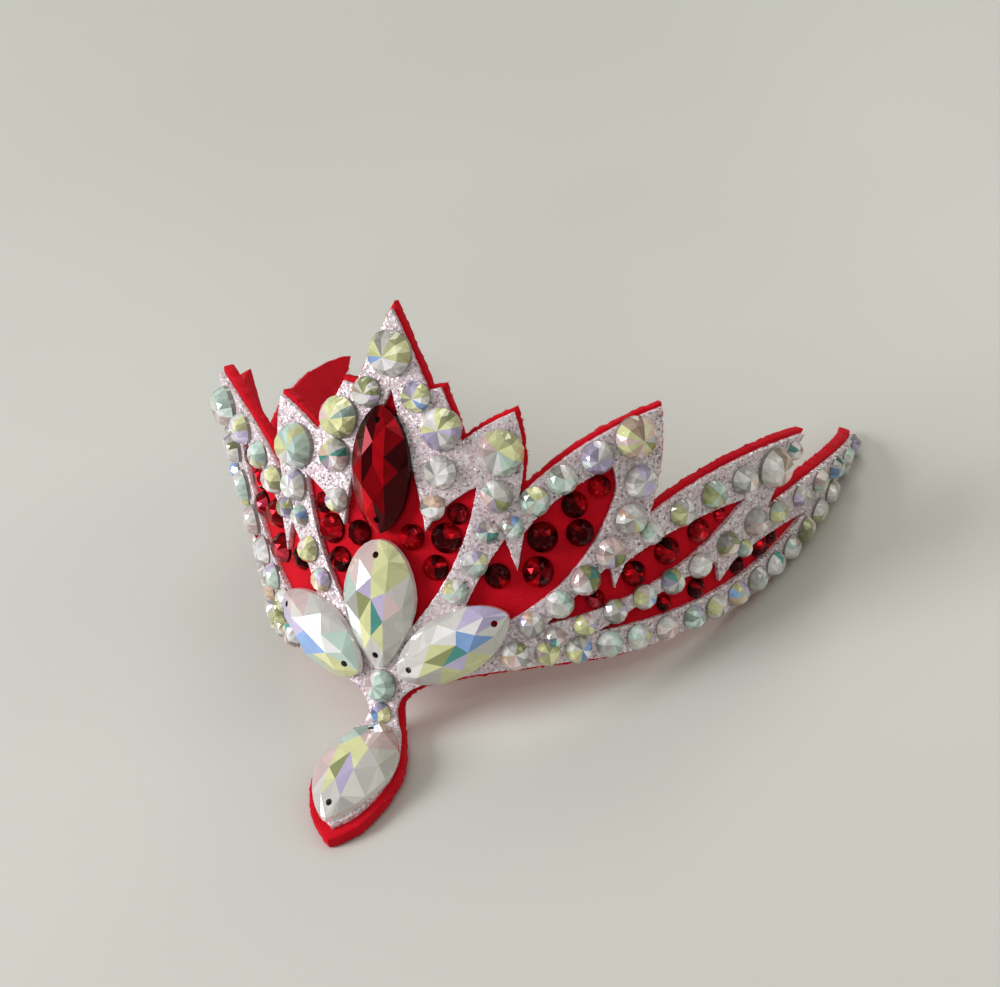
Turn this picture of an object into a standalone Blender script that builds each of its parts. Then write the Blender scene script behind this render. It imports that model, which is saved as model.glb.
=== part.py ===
"""Bun crown: a red felt band with a glitter overlay, round flat stones and five sew-on stones.

The two sheets are drawn flat, as they are cut, in millimetres: s runs round the band from the
front centre, h runs up from the line on which the band's radius is given.  Each sheet is then
bent round the bun.  The pendant below the neck is bent forward, and the whole crown lies back
on the pendant and the lower edge of its wings, as it stands on a table.
"""
import math

import bmesh
import bpy
import numpy as np

for old in list(bpy.data.objects):
    bpy.data.objects.remove(old, do_unlink=True)

# Driving sizes, in millimetres and degrees.
BAND_RADIUS = 47.5        # radius of the felt's outer face on the line h = 0
FLARE_DEG = 12.2          # how far the wall leans outward
LEAN_BACK_DEG = 42.52     # how far the crown lies back on the table
FELT_THICK = 1.8
OVERLAY_THICK = 1.0
LAYER_GAP = 0.3           # clear air kept between separate pieces
FELT_RIM = 0.55           # red edge that shows round the overlay
FELT_TIP_RIM = 1.9        # the same at the pendant's tip
RIM_WIDENS = -20.0        # h from which the rim widens towards the pendant's tip
PENDANT_BEND_DEG = 57.0   # forward bend of the pendant against the band
BEND_TOP = -15.4          # h where the bend starts
BEND_LENGTH = 3.6         # length of sheet that is bent
FACET_STEP = 5.8          # width of the flat strips that make the curve
HOLE_WIDTH = 1.1          # thread hole in a sew-on stone
STONE_SINK = 0.3          # how far a fused stone goes into its sheet
NECK_STONE_H = -15.0      # the small stone over the neck

# The left half is bent tighter than the right and rides higher towards its end: it is ruled
# between a low line at h = 0 and a high line at h = LEFT_HIGH.
LEFT_LOW_RADIUS = 32.3
LEFT_LOW_RATE = 0.943     # length of the low line over the flat length
LEFT_HIGH = 40.0
LEFT_HIGH_RADIUS = 53.9
LEFT_HIGH_RATE = 1.169
LEFT_LOW_LIFT = 0.00045   # rise of the low line over the square of s, per millimetre
LEFT_HIGH_LIFT = 0.0007   # the same for the high line

# The spire was cut a little to the right of the centre line.
SPIRE_SHIFT = 2.4         # largest sideways shift
SPIRE_SHIFT_FROM = 25.0   # h where the shift starts
SPIRE_SHIFT_RISE = 13.0   # height in which it grows to its full size
SPIRE_SHIFT_AT = -7.0     # s of the largest shift
SPIRE_SHIFT_REACH = (7.0, 14.0)   # where it fades out, to the left and to the right

# The pendant's tip was cut a little to the right too.
TIP_SHIFT = 1.4           # sideways shift at the tip
TIP_SHIFT_FROM = -31.0    # h where the shift starts

OVERLAY_BASE = LAYER_GAP
OVERLAY_TOP = OVERLAY_BASE + OVERLAY_THICK
SEAT_ON_OVERLAY = OVERLAY_TOP + LAYER_GAP

# The overlay's upper edge, right half, corner by corner: the edge that leaves each corner
# swells by `swell` at its middle, away from the band, and is drawn in `steps` pieces.
UPPER_EDGE = (
    # name, s, h, swell, steps
    ("spire tip", 0.0, 52.6, 0.3, 2),
    ("spire notch", 6.7, 39.6, 0.0, 1),
    ("shoulder tip", 8.5, 40.2, 0.0, 1),
    ("first valley", 11.8, 31.6, 0.3, 2),
    ("first leaf tip", 18.9, 37.2, 0.9, 3),
    ("second valley", 20.7, 23.4, 1.3, 4),
    ("second leaf tip", 39.2, 40.7, 0.8, 3),
    ("third valley", 40.5, 22.7, 1.9, 4),
    ("third leaf tip", 66.4, 40.0, -0.4, 2),
    ("fourth valley", 62.0, 26.0, 2.2, 5),
    ("wing tip", 94.6, 42.9, 0.0, 1),
)

# The lower edge from the wing tip to the neck.
LOWER_EDGE = (
    # s, h
    (86.5, 34.2),
    (77.0, 23.8),
    (69.0, 15.5),
    (61.5, 9.4),
    (53.0, 5.0),
    (41.0, -0.6),
    (27.0, -4.3),
    (17.0, -6.8),
    (8.0, -9.4),
    (4.2, -11.6),
    (2.8, -14.2),
)

# Half width of the pendant's overlay below the neck.
PENDANT_EDGE = (
    # h, half width
    (-16.8, 3.2),
    (-18.8, 4.4),
    (-22.0, 5.7),
    (-25.5, 6.8),
    (-29.5, 7.1),
    (-34.0, 5.9),
    (-38.6, 3.4),
)
PENDANT_TIP = -41.6

# Leaf-shaped cut-outs in the overlay that show the red felt.  Each row is a corner, with the
# swell of the edge that leaves it, to the left of the direction of travel.
CENTRE_FIELD = (
    # s, h, swell, steps
    (0.0, 39.4, 0.8, 3),
    (7.0, 16.2, 0.7, 2),
    (14.4, 24.3, 2.0, 4),
    (5.6, 0.4, 0.2, 1),
)
CENTRE_FIELD_FOOT = -1.2
SECOND_FIELD = (
    (14.0, 4.6, 0.2, 1),
    (19.2, 16.2, 0.0, 1),
    (21.6, 11.1, 0.0, 1),
    (22.0, 17.6, 1.0, 3),
    (33.6, 30.0, 0.4, 2),
    (34.6, 24.6, 3.4, 5),
    (18.5, 1.0, 0.2, 1),
)
THIRD_FIELD = (
    (27.0, 2.7, 0.0, 1),
    (35.7, 13.7, 0.0, 1),
    (37.0, 10.0, 0.0, 1),
    (38.0, 14.3, 1.2, 4),
    (57.0, 27.6, 3.8, 6),
)
FOURTH_FIELD = (
    (35.6, 2.4, 0.5, 3),
    (54.2, 16.4, 0.0, 1),
    (55.8, 13.1, 0.0, 1),
    (58.0, 17.3, 0.9, 3),
    (74.0, 27.3, 3.4, 6),
)

# Rows of clear stones along the overlay's veins: `swell` bows the row, sizes run from the
# first stone to the last.  They are one piece with the overlay.
CLEAR_ROWS = (
    # name, count, s0, h0, s1, h1, swell, size0, size1
    ("strip end", 1, 8.1, 20.3, 8.1, 20.3, 0.0, 3.9, 3.9),
    ("first leaf pair", 2, 16.5, 17.1, 20.2, 18.3, 0.0, 3.7, 3.7),
    ("first vein", 2, 14.9, 11.6, 12.3, 6.6, 0.0, 4.1, 3.8),
    ("second leaf rise", 2, 23.0, 22.9, 26.6, 27.0, 0.0, 4.5, 4.5),
    ("second vein", 3, 32.2, 10.8, 24.6, 2.4, 0.4, 4.6, 4.0),
    ("third leaf rise", 4, 41.4, 19.8, 55.4, 30.7, 0.6, 4.0, 4.6),
    ("third leaf tip", 1, 64.6, 36.9, 64.6, 36.9, 0.0, 3.4, 3.4),
    ("third vein", 6, 28.6, 0.7, 50.9, 15.4, -0.6, 3.6, 4.0),
    ("fourth valley knot", 2, 55.3, 19.6, 60.0, 23.9, 0.0, 4.5, 4.4),
    ("fourth valley spur", 1, 59.2, 19.2, 59.2, 19.2, 0.0, 3.2, 3.2),
    ("wing rise", 6, 64.6, 26.3, 91.0, 40.6, 0.9, 3.6, 3.8),
    ("hem", 7, 22.6, -3.0, 52.2, 6.6, -1.3, 4.4, 3.8),
    ("wing hem", 7, 56.3, 8.8, 78.0, 27.8, -1.2, 3.9, 4.0),
    ("wing end", 2, 81.8, 31.6, 86.8, 36.3, 0.0, 3.8, 3.6),
)

# Larger clear stones, each a piece of its own, glued on by eye.
CLEAR_SINGLES = (
    # name, size, right s and h, left s and h (None where the stone is on the centre line)
    ("spire_round", 7.4, (0.0, 45.3), None),
    ("fan_round", 5.3, (0.0, -10.3), None),
    ("spire_side_round", 5.0, (4.9, 38.4), (-4.6, 38.6)),
    ("shoulder_round", 6.8, (8.9, 33.4), (-8.5, 34.2)),
    ("shoulder_lower_round", 5.4, (9.0, 26.3), (-8.5, 27.8)),
    ("first_leaf_round", 7.4, (17.5, 30.4), (-15.9, 29.0)),
    ("first_leaf_lower_round", 5.2, (17.5, 23.2), (-16.9, 22.3)),
    ("second_leaf_round", 6.9, (36.2, 35.3), (-36.8, 35.0)),
    ("second_leaf_rise_round", 5.3, (31.2, 31.3), (-31.2, 31.3)),
    ("second_leaf_side_round", 5.3, (38.0, 28.1), (-38.2, 28.1)),
    ("second_leaf_low_round", 5.2, (37.6, 21.7), (-37.6, 21.7)),
    ("second_leaf_root_round", 5.1, (35.4, 15.8), (-35.4, 15.8)),
    ("third_leaf_round", 6.6, (60.8, 33.5), (-60.8, 33.5)),
)

# Red stones on the felt, one piece with it.
RED_STONES = (
    # name, s, h, size
    ("centre", 4.6, 14.9, 4.4),
    ("first field top", 12.4, 20.4, 3.9),
    ("first field", 10.5, 15.3, 5.2),
    ("first field low", 9.0, 10.2, 4.4),
    ("second field root", 18.3, 9.8, 4.3),
    ("second field left", 24.5, 17.0, 5.2),
    ("second field low", 24.8, 11.2, 5.2),
    ("second field right", 31.0, 18.4, 4.7),
    ("second field rise", 28.4, 22.9, 4.5),
    ("second field top", 32.3, 26.4, 3.8),
    ("third field root", 34.4, 8.3, 3.8),
    ("third field low", 39.8, 12.0, 4.4),
    ("third field", 45.0, 17.0, 4.6),
    ("third field rise", 50.4, 21.0, 4.2),
    ("third field top", 54.4, 24.8, 3.0),
    ("fourth field root", 46.8, 7.9, 2.8),
    ("fourth field low", 52.0, 11.4, 3.5),
    ("fourth field", 58.9, 14.9, 3.6),
    ("fourth field rise", 63.4, 19.6, 3.8),
    ("fourth field high", 67.6, 22.9, 3.0),
)

# Sew-on stones: `turn` is the direction of the long axis, in degrees from straight up.
SEW_ON_STONES = (
    # name, form, look, s, h, turn, length, width, height
    ("red_navette", "navette", "red", 0.0, 26.1, 0.0, 21.4, 10.6, 3.4),
    ("centre_drop", "drop", "clear", 0.0, 3.6, 0.0, 21.6, 13.4, 3.6),
    ("right_navette", "navette", "clear", 12.5, -2.2, -56.5, 21.4, 10.8, 3.4),
    ("left_navette", "navette", "clear", -12.5, -2.2, 56.5, 21.4, 10.8, 3.4),
    ("pendant_drop", "drop", "clear", 0.25, -29.9, 0.0, 22.2, 14.0, 3.6),
)

FLARE = math.radians(FLARE_DEG)
LEAN = math.radians(LEAN_BACK_DEG)
BEND = math.radians(PENDANT_BEND_DEG)


def bend_path(depth):
    """Run of the sheet's centre line below the bend: the forward and downward shift, and the turn."""
    forward = 0.0
    down = 0.0
    pieces = 24
    step = depth / pieces
    turn = 0.0
    for piece in range(pieces):
        share = min(1.0, (piece + 0.5) * step / BEND_LENGTH)
        turn = BEND * share
        forward += math.sin(turn - FLARE) * step
        down += math.cos(turn - FLARE) * step
    return forward, down, BEND * min(1.0, depth / BEND_LENGTH)


def spire_shift(s, h):
    """Sideways shift of a point of the flat pattern near the spire."""
    far = s - SPIRE_SHIFT_AT
    reach = SPIRE_SHIFT_REACH[0] if far < 0.0 else SPIRE_SHIFT_REACH[1]
    if abs(far) >= reach:
        return 0.0
    rise = min(1.0, max(0.0, (h - SPIRE_SHIFT_FROM) / SPIRE_SHIFT_RISE))
    return SPIRE_SHIFT * rise * math.cos(0.5 * math.pi * far / reach) ** 2


def tip_shift(h):
    """Sideways shift of the pendant towards its tip."""
    return TIP_SHIFT * min(1.0, max(0.0, (TIP_SHIFT_FROM - h) / (TIP_SHIFT_FROM - PENDANT_TIP)))


def left_line(s, radius, rate, lift):
    """Point of one of the two lines that the left half is ruled between."""
    angle = s * rate / radius
    return np.array((radius * math.sin(angle), radius * (1.0 - math.cos(angle)), lift * s * s))


def wall(s, h):
    """Point of the band's outer face, as if it went straight on down at the pendant."""
    top_corner = np.array((0.0, -LEFT_HIGH * math.sin(FLARE), LEFT_HIGH * math.cos(FLARE)))
    if s < 0.0:
        low = left_line(s, LEFT_LOW_RADIUS, LEFT_LOW_RATE, LEFT_LOW_LIFT)
        high = left_line(s, LEFT_HIGH_RADIUS, LEFT_HIGH_RATE, LEFT_HIGH_LIFT) + top_corner
        return low + (high - low) * (h / LEFT_HIGH)
    angle = s / BAND_RADIUS
    reach = BAND_RADIUS + h * math.sin(FLARE)
    return np.array((reach * math.sin(angle), BAND_RADIUS - reach * math.cos(angle), h * math.cos(FLARE)))


def wall_normal(s, h):
    """Outward direction of the band's face."""
    step = 0.05
    across = wall(s + step, h) - wall(s - step, h)
    up = wall(s, h + step) - wall(s, h - step)
    out = np.cross(across, up)
    return out / np.linalg.norm(out)


def place(s, h, n):
    """Point of the bent crown, in millimetres, for a point (s, h) of the flat sheet and height n off it."""
    s += spire_shift(s, h) + tip_shift(h)
    held = max(h, BEND_TOP)
    face = wall(s, held)
    out = wall_normal(s, held)
    if h >= BEND_TOP:
        return face + n * out
    forward, down, turn = bend_path(BEND_TOP - h)
    flat = min(1.0, (BEND_TOP - h) / BEND_LENGTH)
    front = wall(0.0, BEND_TOP)
    front[0] = s * (BAND_RADIUS + BEND_TOP * math.sin(FLARE)) / BAND_RADIUS
    point = (1.0 - flat) * face + flat * front - np.array((0.0, forward, down))
    lean = FLARE - turn
    angle = math.atan2(out[0], -out[1]) * (1.0 - flat)
    outward = np.array((math.cos(lean) * math.sin(angle), -math.cos(lean) * math.cos(angle), -math.sin(lean)))
    return point + n * outward


def lie_back(point):
    """Turn a crown point back onto the table."""
    x, y, z = point
    return np.array((x, y * math.cos(LEAN) + z * math.sin(LEAN), z * math.cos(LEAN) - y * math.sin(LEAN)))


def swelling(start, end, swell, steps):
    """Points from start up to, not including, end, bowed to the left of travel by `swell`."""
    start = np.array(start, float)
    end = np.array(end, float)
    run = end - start
    left = np.array((-run[1], run[0])) / np.linalg.norm(run)
    points = []
    for step in range(steps):
        share = step / steps
        points.append(start + run * share + left * swell * 4.0 * share * (1.0 - share))
    return points


def mirrored(points):
    """The same points on the other side of the centre line, in reverse order."""
    return [np.array((-p[0], p[1])) for p in reversed(points)]


def overlay_outline():
    """The overlay's outer edge: clockwise from the spire tip."""
    right = []
    for here, there in zip(UPPER_EDGE[:-1], UPPER_EDGE[1:]):
        right += swelling(here[1:3], there[1:3], here[3], here[4])
    right.append(np.array(UPPER_EDGE[-1][1:3]))
    right += [np.array(p) for p in LOWER_EDGE]
    right += [np.array((half, h)) for h, half in PENDANT_EDGE]
    tip = [np.array((0.0, PENDANT_TIP))]
    return right + tip + mirrored(right[1:])


def corner_loop(corners):
    """Closed loop of a cut-out from its table of corners."""
    loop = []
    for here, there in zip(corners, corners[1:] + corners[:1]):
        loop += swelling(here[:2], there[:2], here[2], here[3])
    return loop


def cut_outs():
    """All cut-outs: the centre field and three fields on each side."""
    right = []
    corners = CENTRE_FIELD + ((0.0, CENTRE_FIELD_FOOT, 0.0, 1),)
    for here, there in zip(corners[:-1], corners[1:]):
        right += swelling(here[:2], there[:2], here[2], here[3])
    foot = [np.array((0.0, CENTRE_FIELD_FOOT))]
    loops = [right + foot + mirrored(right[1:])]
    for field in (SECOND_FIELD, THIRD_FIELD, FOURTH_FIELD):
        loop = corner_loop(field)
        loops.append(loop)
        loops.append(mirrored(loop))
    return loops


def distance_to_loop(point, loop):
    """Shortest distance from a point to a closed loop."""
    best = 1e9
    for here, there in zip(loop, loop[1:] + loop[:1]):
        run = there - here
        share = np.dot(point - here, run) / max(np.dot(run, run), 1e-12)
        share = min(1.0, max(0.0, share))
        best = min(best, float(np.linalg.norm(point - here - run * share)))
    return best


def rim_at(point):
    """Width of the red rim: wider towards the pendant's tip."""
    share = min(1.0, max(0.0, (RIM_WIDENS - point[1]) / (RIM_WIDENS - PENDANT_TIP)))
    return FELT_RIM + (FELT_TIP_RIM - FELT_RIM) * share


def tip_reach(rim):
    """Furthest that a tip stands out: crisp where the rim is thin, blunt where it is wide."""
    return 1.9 * FELT_RIM + 0.95 * (rim - FELT_RIM)


def grown(loop):
    """A clockwise loop grown outward by the rim, with tips kept crisp and valleys kept open."""
    out = []
    count = len(loop)
    for index in range(count):
        here = loop[index]
        rim = rim_at(here)
        before = here - loop[index - 1]
        after = loop[(index + 1) % count] - here
        first = np.array((-before[1], before[0])) / np.linalg.norm(before)
        second = np.array((-after[1], after[0])) / np.linalg.norm(after)
        joint = first + second
        width = max(float(np.linalg.norm(joint)), 1e-6)
        out.append(here + joint / width * min(2.0 * rim / width, tip_reach(rim)))
    return [p for p in out if distance_to_loop(p, loop) > 0.93 * rim_at(p)]


def felt_outline():
    """The felt's outer edge, a rim wider than the overlay."""
    fine = []
    edge = overlay_outline()
    for here, there in zip(edge, edge[1:] + edge[:1]):
        parts = max(1, round(float(np.linalg.norm(there - here)) / 3.5))
        fine += [here + (there - here) * (k / parts) for k in range(parts)]
    return grown(fine)


def flat_sheet(name, loops, low, high):
    """Closed flat sheet between two heights, cut along straight lines where it will bend."""
    curve = bpy.data.curves.new(name, "CURVE")
    curve.dimensions = "2D"
    curve.fill_mode = "BOTH"
    curve.extrude = 0.5 * (high - low)
    for loop in loops:
        spline = curve.splines.new("POLY")
        spline.points.add(len(loop) - 1)
        for dot, point in zip(spline.points, loop):
            dot.co = (point[0], point[1], 0.0, 1.0)
        spline.use_cyclic_u = True
    drawn = bpy.data.objects.new(name + "_flat", curve)
    bpy.context.scene.collection.objects.link(drawn)
    graph = bpy.context.evaluated_depsgraph_get()
    mesh = bpy.data.meshes.new_from_object(drawn.evaluated_get(graph))
    bpy.data.objects.remove(drawn, do_unlink=True)
    work = bmesh.new()
    work.from_mesh(mesh)
    bpy.data.meshes.remove(mesh)
    bmesh.ops.remove_doubles(work, verts=work.verts, dist=1e-3)
    bmesh.ops.translate(work, verts=work.verts, vec=(0.0, 0.0, 0.5 * (high + low)))
    strips = math.ceil(100.0 / FACET_STEP)
    across = [(FACET_STEP * (k + 0.5), 0.0) for k in range(-strips, strips)]
    along = [(0.0, BEND_TOP - BEND_LENGTH * k / 4.0) for k in range(5)]
    for s_line, h_line in across + along:
        normal = (1.0, 0.0, 0.0) if s_line else (0.0, 1.0, 0.0)
        made = bmesh.ops.bisect_plane(
            work,
            geom=work.verts[:] + work.edges[:] + work.faces[:],
            dist=1e-4,
            plane_co=(s_line, h_line, 0.0),
            plane_no=normal,
        )
        for item in made["geom_cut"]:
            if isinstance(item, bmesh.types.BMEdge):
                item.seam = True
    bmesh.ops.dissolve_limit(
        work,
        angle_limit=math.radians(0.2),
        verts=work.verts,
        edges=work.edges,
        delimit={"SEAM"},
    )
    bmesh.ops.triangulate(work, faces=work.faces, quad_method="BEAUTY", ngon_method="BEAUTY")
    return work


def bend_sheet(work):
    """Bend a flat sheet round the bun and lay the crown back."""
    for vert in work.verts:
        vert.co = lie_back(place(vert.co.x, vert.co.y, vert.co.z))
    bmesh.ops.recalc_face_normals(work, faces=work.faces)


def round_form(share, size):
    """Point of a round stone's girdle."""
    turn = 2.0 * math.pi * share
    return np.array((0.5 * size[0] * math.sin(turn), 0.5 * size[1] * math.cos(turn)))


def navette_form(share, size):
    """Point of a navette's girdle: two bows with blunt ends."""
    turn = 2.0 * math.pi * share
    bow = math.copysign(abs(math.sin(turn)) ** 1.25, math.sin(turn))
    return np.array((0.5 * size[0] * bow, 0.5 * size[1] * math.cos(turn)))


def drop_form(share, size):
    """Point of a drop's girdle: round above, pointed below."""
    turn = 2.0 * math.pi * share
    height = math.cos(turn)
    taper = 1.0 if height > 0.15 else 1.0 - 0.42 * ((0.15 - height) / 1.15) ** 1.4
    return np.array((0.5 * size[0] * math.sin(turn) * taper, 0.5 * size[1] * height))


FORMS = {"round": round_form, "navette": navette_form, "drop": drop_form}


def cut_stone(form, size, sides, levels):
    """Closed cut stone with a flat back and a table, from rings of (height, scale)."""
    work = bmesh.new()
    rings = []
    for level, (height, scale) in enumerate(levels):
        ring = []
        half_turn = 0.5 * max(0, level - 1)
        for side in range(sides):
            flat = FORMS[form]((side + half_turn) / sides, size) * scale
            ring.append(work.verts.new((flat[0], flat[1], height)))
        rings.append(ring)
    work.faces.new(rings[0])
    work.faces.new(rings[-1])
    for level in range(len(levels) - 1):
        low = rings[level]
        high = rings[level + 1]
        for side in range(sides):
            after = (side + 1) % sides
            if level == 0:
                work.faces.new((low[side], low[after], high[after], high[side]))
            else:
                work.faces.new((low[side], low[after], high[side]))
                work.faces.new((high[side], low[after], high[after]))
    bmesh.ops.recalc_face_normals(work, faces=work.faces)
    return work


def seat(work, s, h, n, turn_deg=0.0):
    """Put a stone on the sheet at (s, h): flat back n above the sheet, turned about its own axis."""
    here = place(s, h, n)
    along = place(s + 0.2, h, n) - place(s - 0.2, h, n)
    along /= np.linalg.norm(along)
    out = place(s, h, n + 1.0) - here
    up = np.cross(out, along)
    turn = math.radians(turn_deg)
    for vert in work.verts:
        x = vert.co.x * math.cos(turn) - vert.co.y * math.sin(turn)
        y = vert.co.x * math.sin(turn) + vert.co.y * math.cos(turn)
        vert.co = lie_back(here + along * x + up * y + out * vert.co.z)
    bmesh.ops.recalc_face_normals(work, faces=work.faces)


def material(name, colour, roughness, metallic=0.0, transmission=0.0):
    """A plain Principled material."""
    made = bpy.data.materials.new(name)
    made.use_nodes = True
    shader = made.node_tree.nodes["Principled BSDF"]
    shader.inputs["Base Color"].default_value = (*colour, 1.0)
    shader.inputs["Roughness"].default_value = roughness
    shader.inputs["Metallic"].default_value = metallic
    shader.inputs["Transmission Weight"].default_value = transmission
    made.diffuse_color = (*colour, 1.0)
    return made


def node(name, work, group, look):
    """Turn a worked mesh, in millimetres, into a named solid in metres."""
    bmesh.ops.scale(work, verts=work.verts, vec=(0.001, 0.001, 0.001))
    mesh = bpy.data.meshes.new(name)
    work.to_mesh(mesh)
    work.free()
    made = bpy.data.objects.new(name, mesh)
    made.data.materials.append(look)
    group.objects.link(made)
    return made


def join_in(body, tools, kind):
    """Boolean a collection of closed stones or cutters into a body, then keep the result as its mesh."""
    step = body.modifiers.new("join", "BOOLEAN")
    step.operand_type = "COLLECTION"
    step.collection = tools
    step.operation = kind
    step.solver = "EXACT"
    graph = bpy.context.evaluated_depsgraph_get()
    mesh = bpy.data.meshes.new_from_object(body.evaluated_get(graph))
    body.modifiers.clear()
    body.data = mesh
    for tool in list(tools.objects):
        bpy.data.objects.remove(tool, do_unlink=True)


def tool_group(name):
    """Collection for the pieces that are joined in or cut away."""
    group = bpy.data.collections.new(name)
    bpy.context.scene.collection.children.link(group)
    group.hide_render = True
    return group


def clear_row_stones():
    """Every clear stone of the rows, both sides: (s, h, size)."""
    stones = [(0.0, NECK_STONE_H, 3.6)]
    for row in CLEAR_ROWS:
        count, s0, h0, s1, h1, swell, size0, size1 = row[1:]
        run = np.array((s1 - s0, h1 - h0))
        length = max(float(np.linalg.norm(run)), 1e-9)
        left = np.array((-run[1], run[0])) / length
        for index in range(count):
            share = index / max(1, count - 1)
            spot = np.array((s0, h0)) + run * share + left * swell * 4.0 * share * (1.0 - share)
            size = size0 + (size1 - size0) * share
            stones.append((spot[0], spot[1], size))
            stones.append((-spot[0], spot[1], size))
    return stones


def red_stone_spots():
    """Every red stone, both sides, no larger than its field and neighbours allow."""
    loops = cut_outs()
    clear = clear_row_stones()
    for name, size, right, left in CLEAR_SINGLES:
        for s, h in (right, left or right):
            clear.append((abs(s), h, size))
            clear.append((-abs(s), h, size))
    stones = []
    for name, s, h, size in RED_STONES:
        best = (0.0, s, h)
        for across in range(-4, 5):
            for along in range(-4, 5):
                spot = np.array((s + 0.3 * across, h + 0.3 * along))
                room = min(distance_to_loop(spot, loop) for loop in loops) - 0.10
                for cs, ch, csize in clear + [(q[0], q[1], q[2] * 1.09) for q in stones]:
                    room = min(room, math.hypot(cs - spot[0], ch - spot[1]) - 0.46 * csize)
                far = 0.02 * (abs(across) + abs(along))
                best = max(best, (min(0.5 * size, room) - far, spot[0], spot[1]))
        size_here = 2.0 * best[0]
        stones.append((best[1], best[2], size_here))
        stones.append((-best[1], best[2], size_here))
        print(f"red stone {name}: {size_here:.2f} of {size:.2f} mm")
    return stones


crown = bpy.data.collections.new("bun_crown")
bpy.context.scene.collection.children.link(crown)

felt_red = material("red_felt", (0.50, 0.006, 0.016), 0.95)
glitter = material("silver_glitter_sheet", (0.62, 0.50, 0.52), 0.35, metallic=0.5)
clear_glass = material("clear_coated_crystal", (0.80, 0.84, 0.78), 0.08)
red_glass = material("deep_red_crystal", (0.22, 0.0, 0.006), 0.08)

LARGE_LEVELS = ((0.0, 1.0), (0.08, 1.0), (0.30, 0.78), (0.44, 0.46))

felt_sheet = flat_sheet("crimson_felt_base", [felt_outline()], -FELT_THICK, 0.0)
bend_sheet(felt_sheet)
felt = node("crimson_felt_base", felt_sheet, crown, felt_red)

overlay_sheet = flat_sheet(
    "glitter_overlay", [overlay_outline()] + cut_outs(), OVERLAY_BASE, OVERLAY_TOP
)
bend_sheet(overlay_sheet)
overlay = node("glitter_overlay", overlay_sheet, crown, glitter)

red_tools = tool_group("red_stones")
for count, (s, h, size) in enumerate(red_stone_spots()):
    levels = ((-STONE_SINK, 1.0), (0.12 * size, 1.0), (0.40 * size, 0.52))
    stone = cut_stone("round", (size, size), 8, levels)
    seat(stone, s, h, 0.0, 11.0 * count)
    node(f"red_stone_{count:02d}", stone, red_tools, red_glass)
join_in(felt, red_tools, "UNION")

clear_tools = tool_group("clear_stones")
for count, (s, h, size) in enumerate(clear_row_stones()):
    levels = ((-STONE_SINK, 1.0), (0.10 * size, 1.0), (0.40 * size, 0.50))
    stone = cut_stone("round", (size, size), 8, levels)
    seat(stone, s, h, OVERLAY_TOP, 13.0 * count)
    node(f"clear_stone_{count:02d}", stone, clear_tools, clear_glass)
join_in(overlay, clear_tools, "UNION")

for name, size, right, left in CLEAR_SINGLES:
    sides = (("right_", right), ("left_", left)) if left else (("", right),)
    for prefix, (s, h) in sides:
        levels = tuple((height * size, scale) for height, scale in LARGE_LEVELS)
        stone = cut_stone("round", (size, size), 12, levels)
        seat(stone, s, h, SEAT_ON_OVERLAY, 7.0 + s)
        node(prefix + name, stone, crown, clear_glass)

hole_tools = tool_group("thread_holes")
for name, form, look, s, h, turn, length, width, height in SEW_ON_STONES:
    levels = ((0.0, 1.0), (0.9, 1.0), (0.62 * height, 0.80), (height, 0.42))
    stone = cut_stone(form, (width, length), 16, levels)
    seat(stone, s, h, SEAT_ON_OVERLAY, turn)
    made = node(name, stone, crown, red_glass if look == "red" else clear_glass)
    for end in (1.0, -1.0):
        reach = 0.5 * length - 2.4
        drill = cut_stone("round", (HOLE_WIDTH, HOLE_WIDTH), 8, ((-1.0, 1.0), (height + 1.0, 1.0)))
        bmesh.ops.translate(drill, verts=drill.verts, vec=(0.0, end * reach, 0.0))
        seat(drill, s, h, SEAT_ON_OVERLAY, turn)
        node(name + "_drill", drill, hole_tools, clear_glass)
    join_in(made, hole_tools, "DIFFERENCE")

for group in (red_tools, clear_tools, hole_tools):
    bpy.data.collections.remove(group)

# Set the crown on the table, with the middle of its bounding box over the origin.
corners = np.array([vert.co for piece in crown.objects for vert in piece.data.vertices])
lowest = corners.min(axis=0)
highest = corners.max(axis=0)
table_shift = np.array((-0.5 * (lowest[0] + highest[0]), -0.5 * (lowest[1] + highest[1]), -lowest[2]))
for piece in crown.objects:
    for vert in piece.data.vertices:
        vert.co = np.array(vert.co) + table_shift
print("table shift", table_shift.round(6), "size", (highest - lowest).round(5))
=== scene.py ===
"""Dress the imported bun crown: red felt, glitter sheet, coated crystals, table and soft light."""
from __future__ import annotations

import logging
import math
import random
from dataclasses import dataclass, field, replace
from enum import Enum
from typing import Callable, Sequence

import bmesh
import bpy
import numpy as np
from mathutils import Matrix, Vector

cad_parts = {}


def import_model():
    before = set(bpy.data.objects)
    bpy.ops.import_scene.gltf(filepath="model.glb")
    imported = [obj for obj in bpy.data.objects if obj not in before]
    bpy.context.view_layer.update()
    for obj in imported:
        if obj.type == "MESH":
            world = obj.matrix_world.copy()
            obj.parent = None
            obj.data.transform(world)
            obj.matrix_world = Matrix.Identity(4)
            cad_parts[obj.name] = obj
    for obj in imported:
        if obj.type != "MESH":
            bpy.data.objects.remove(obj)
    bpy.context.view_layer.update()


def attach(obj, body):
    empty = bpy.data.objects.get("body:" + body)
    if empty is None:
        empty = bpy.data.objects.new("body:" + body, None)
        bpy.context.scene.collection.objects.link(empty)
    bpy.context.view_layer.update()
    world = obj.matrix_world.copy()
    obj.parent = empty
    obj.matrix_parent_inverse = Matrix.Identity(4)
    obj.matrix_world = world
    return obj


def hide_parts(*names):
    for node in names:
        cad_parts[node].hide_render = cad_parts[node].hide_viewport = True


LOG = logging.getLogger("bun_crown")
MM = 0.001
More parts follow.
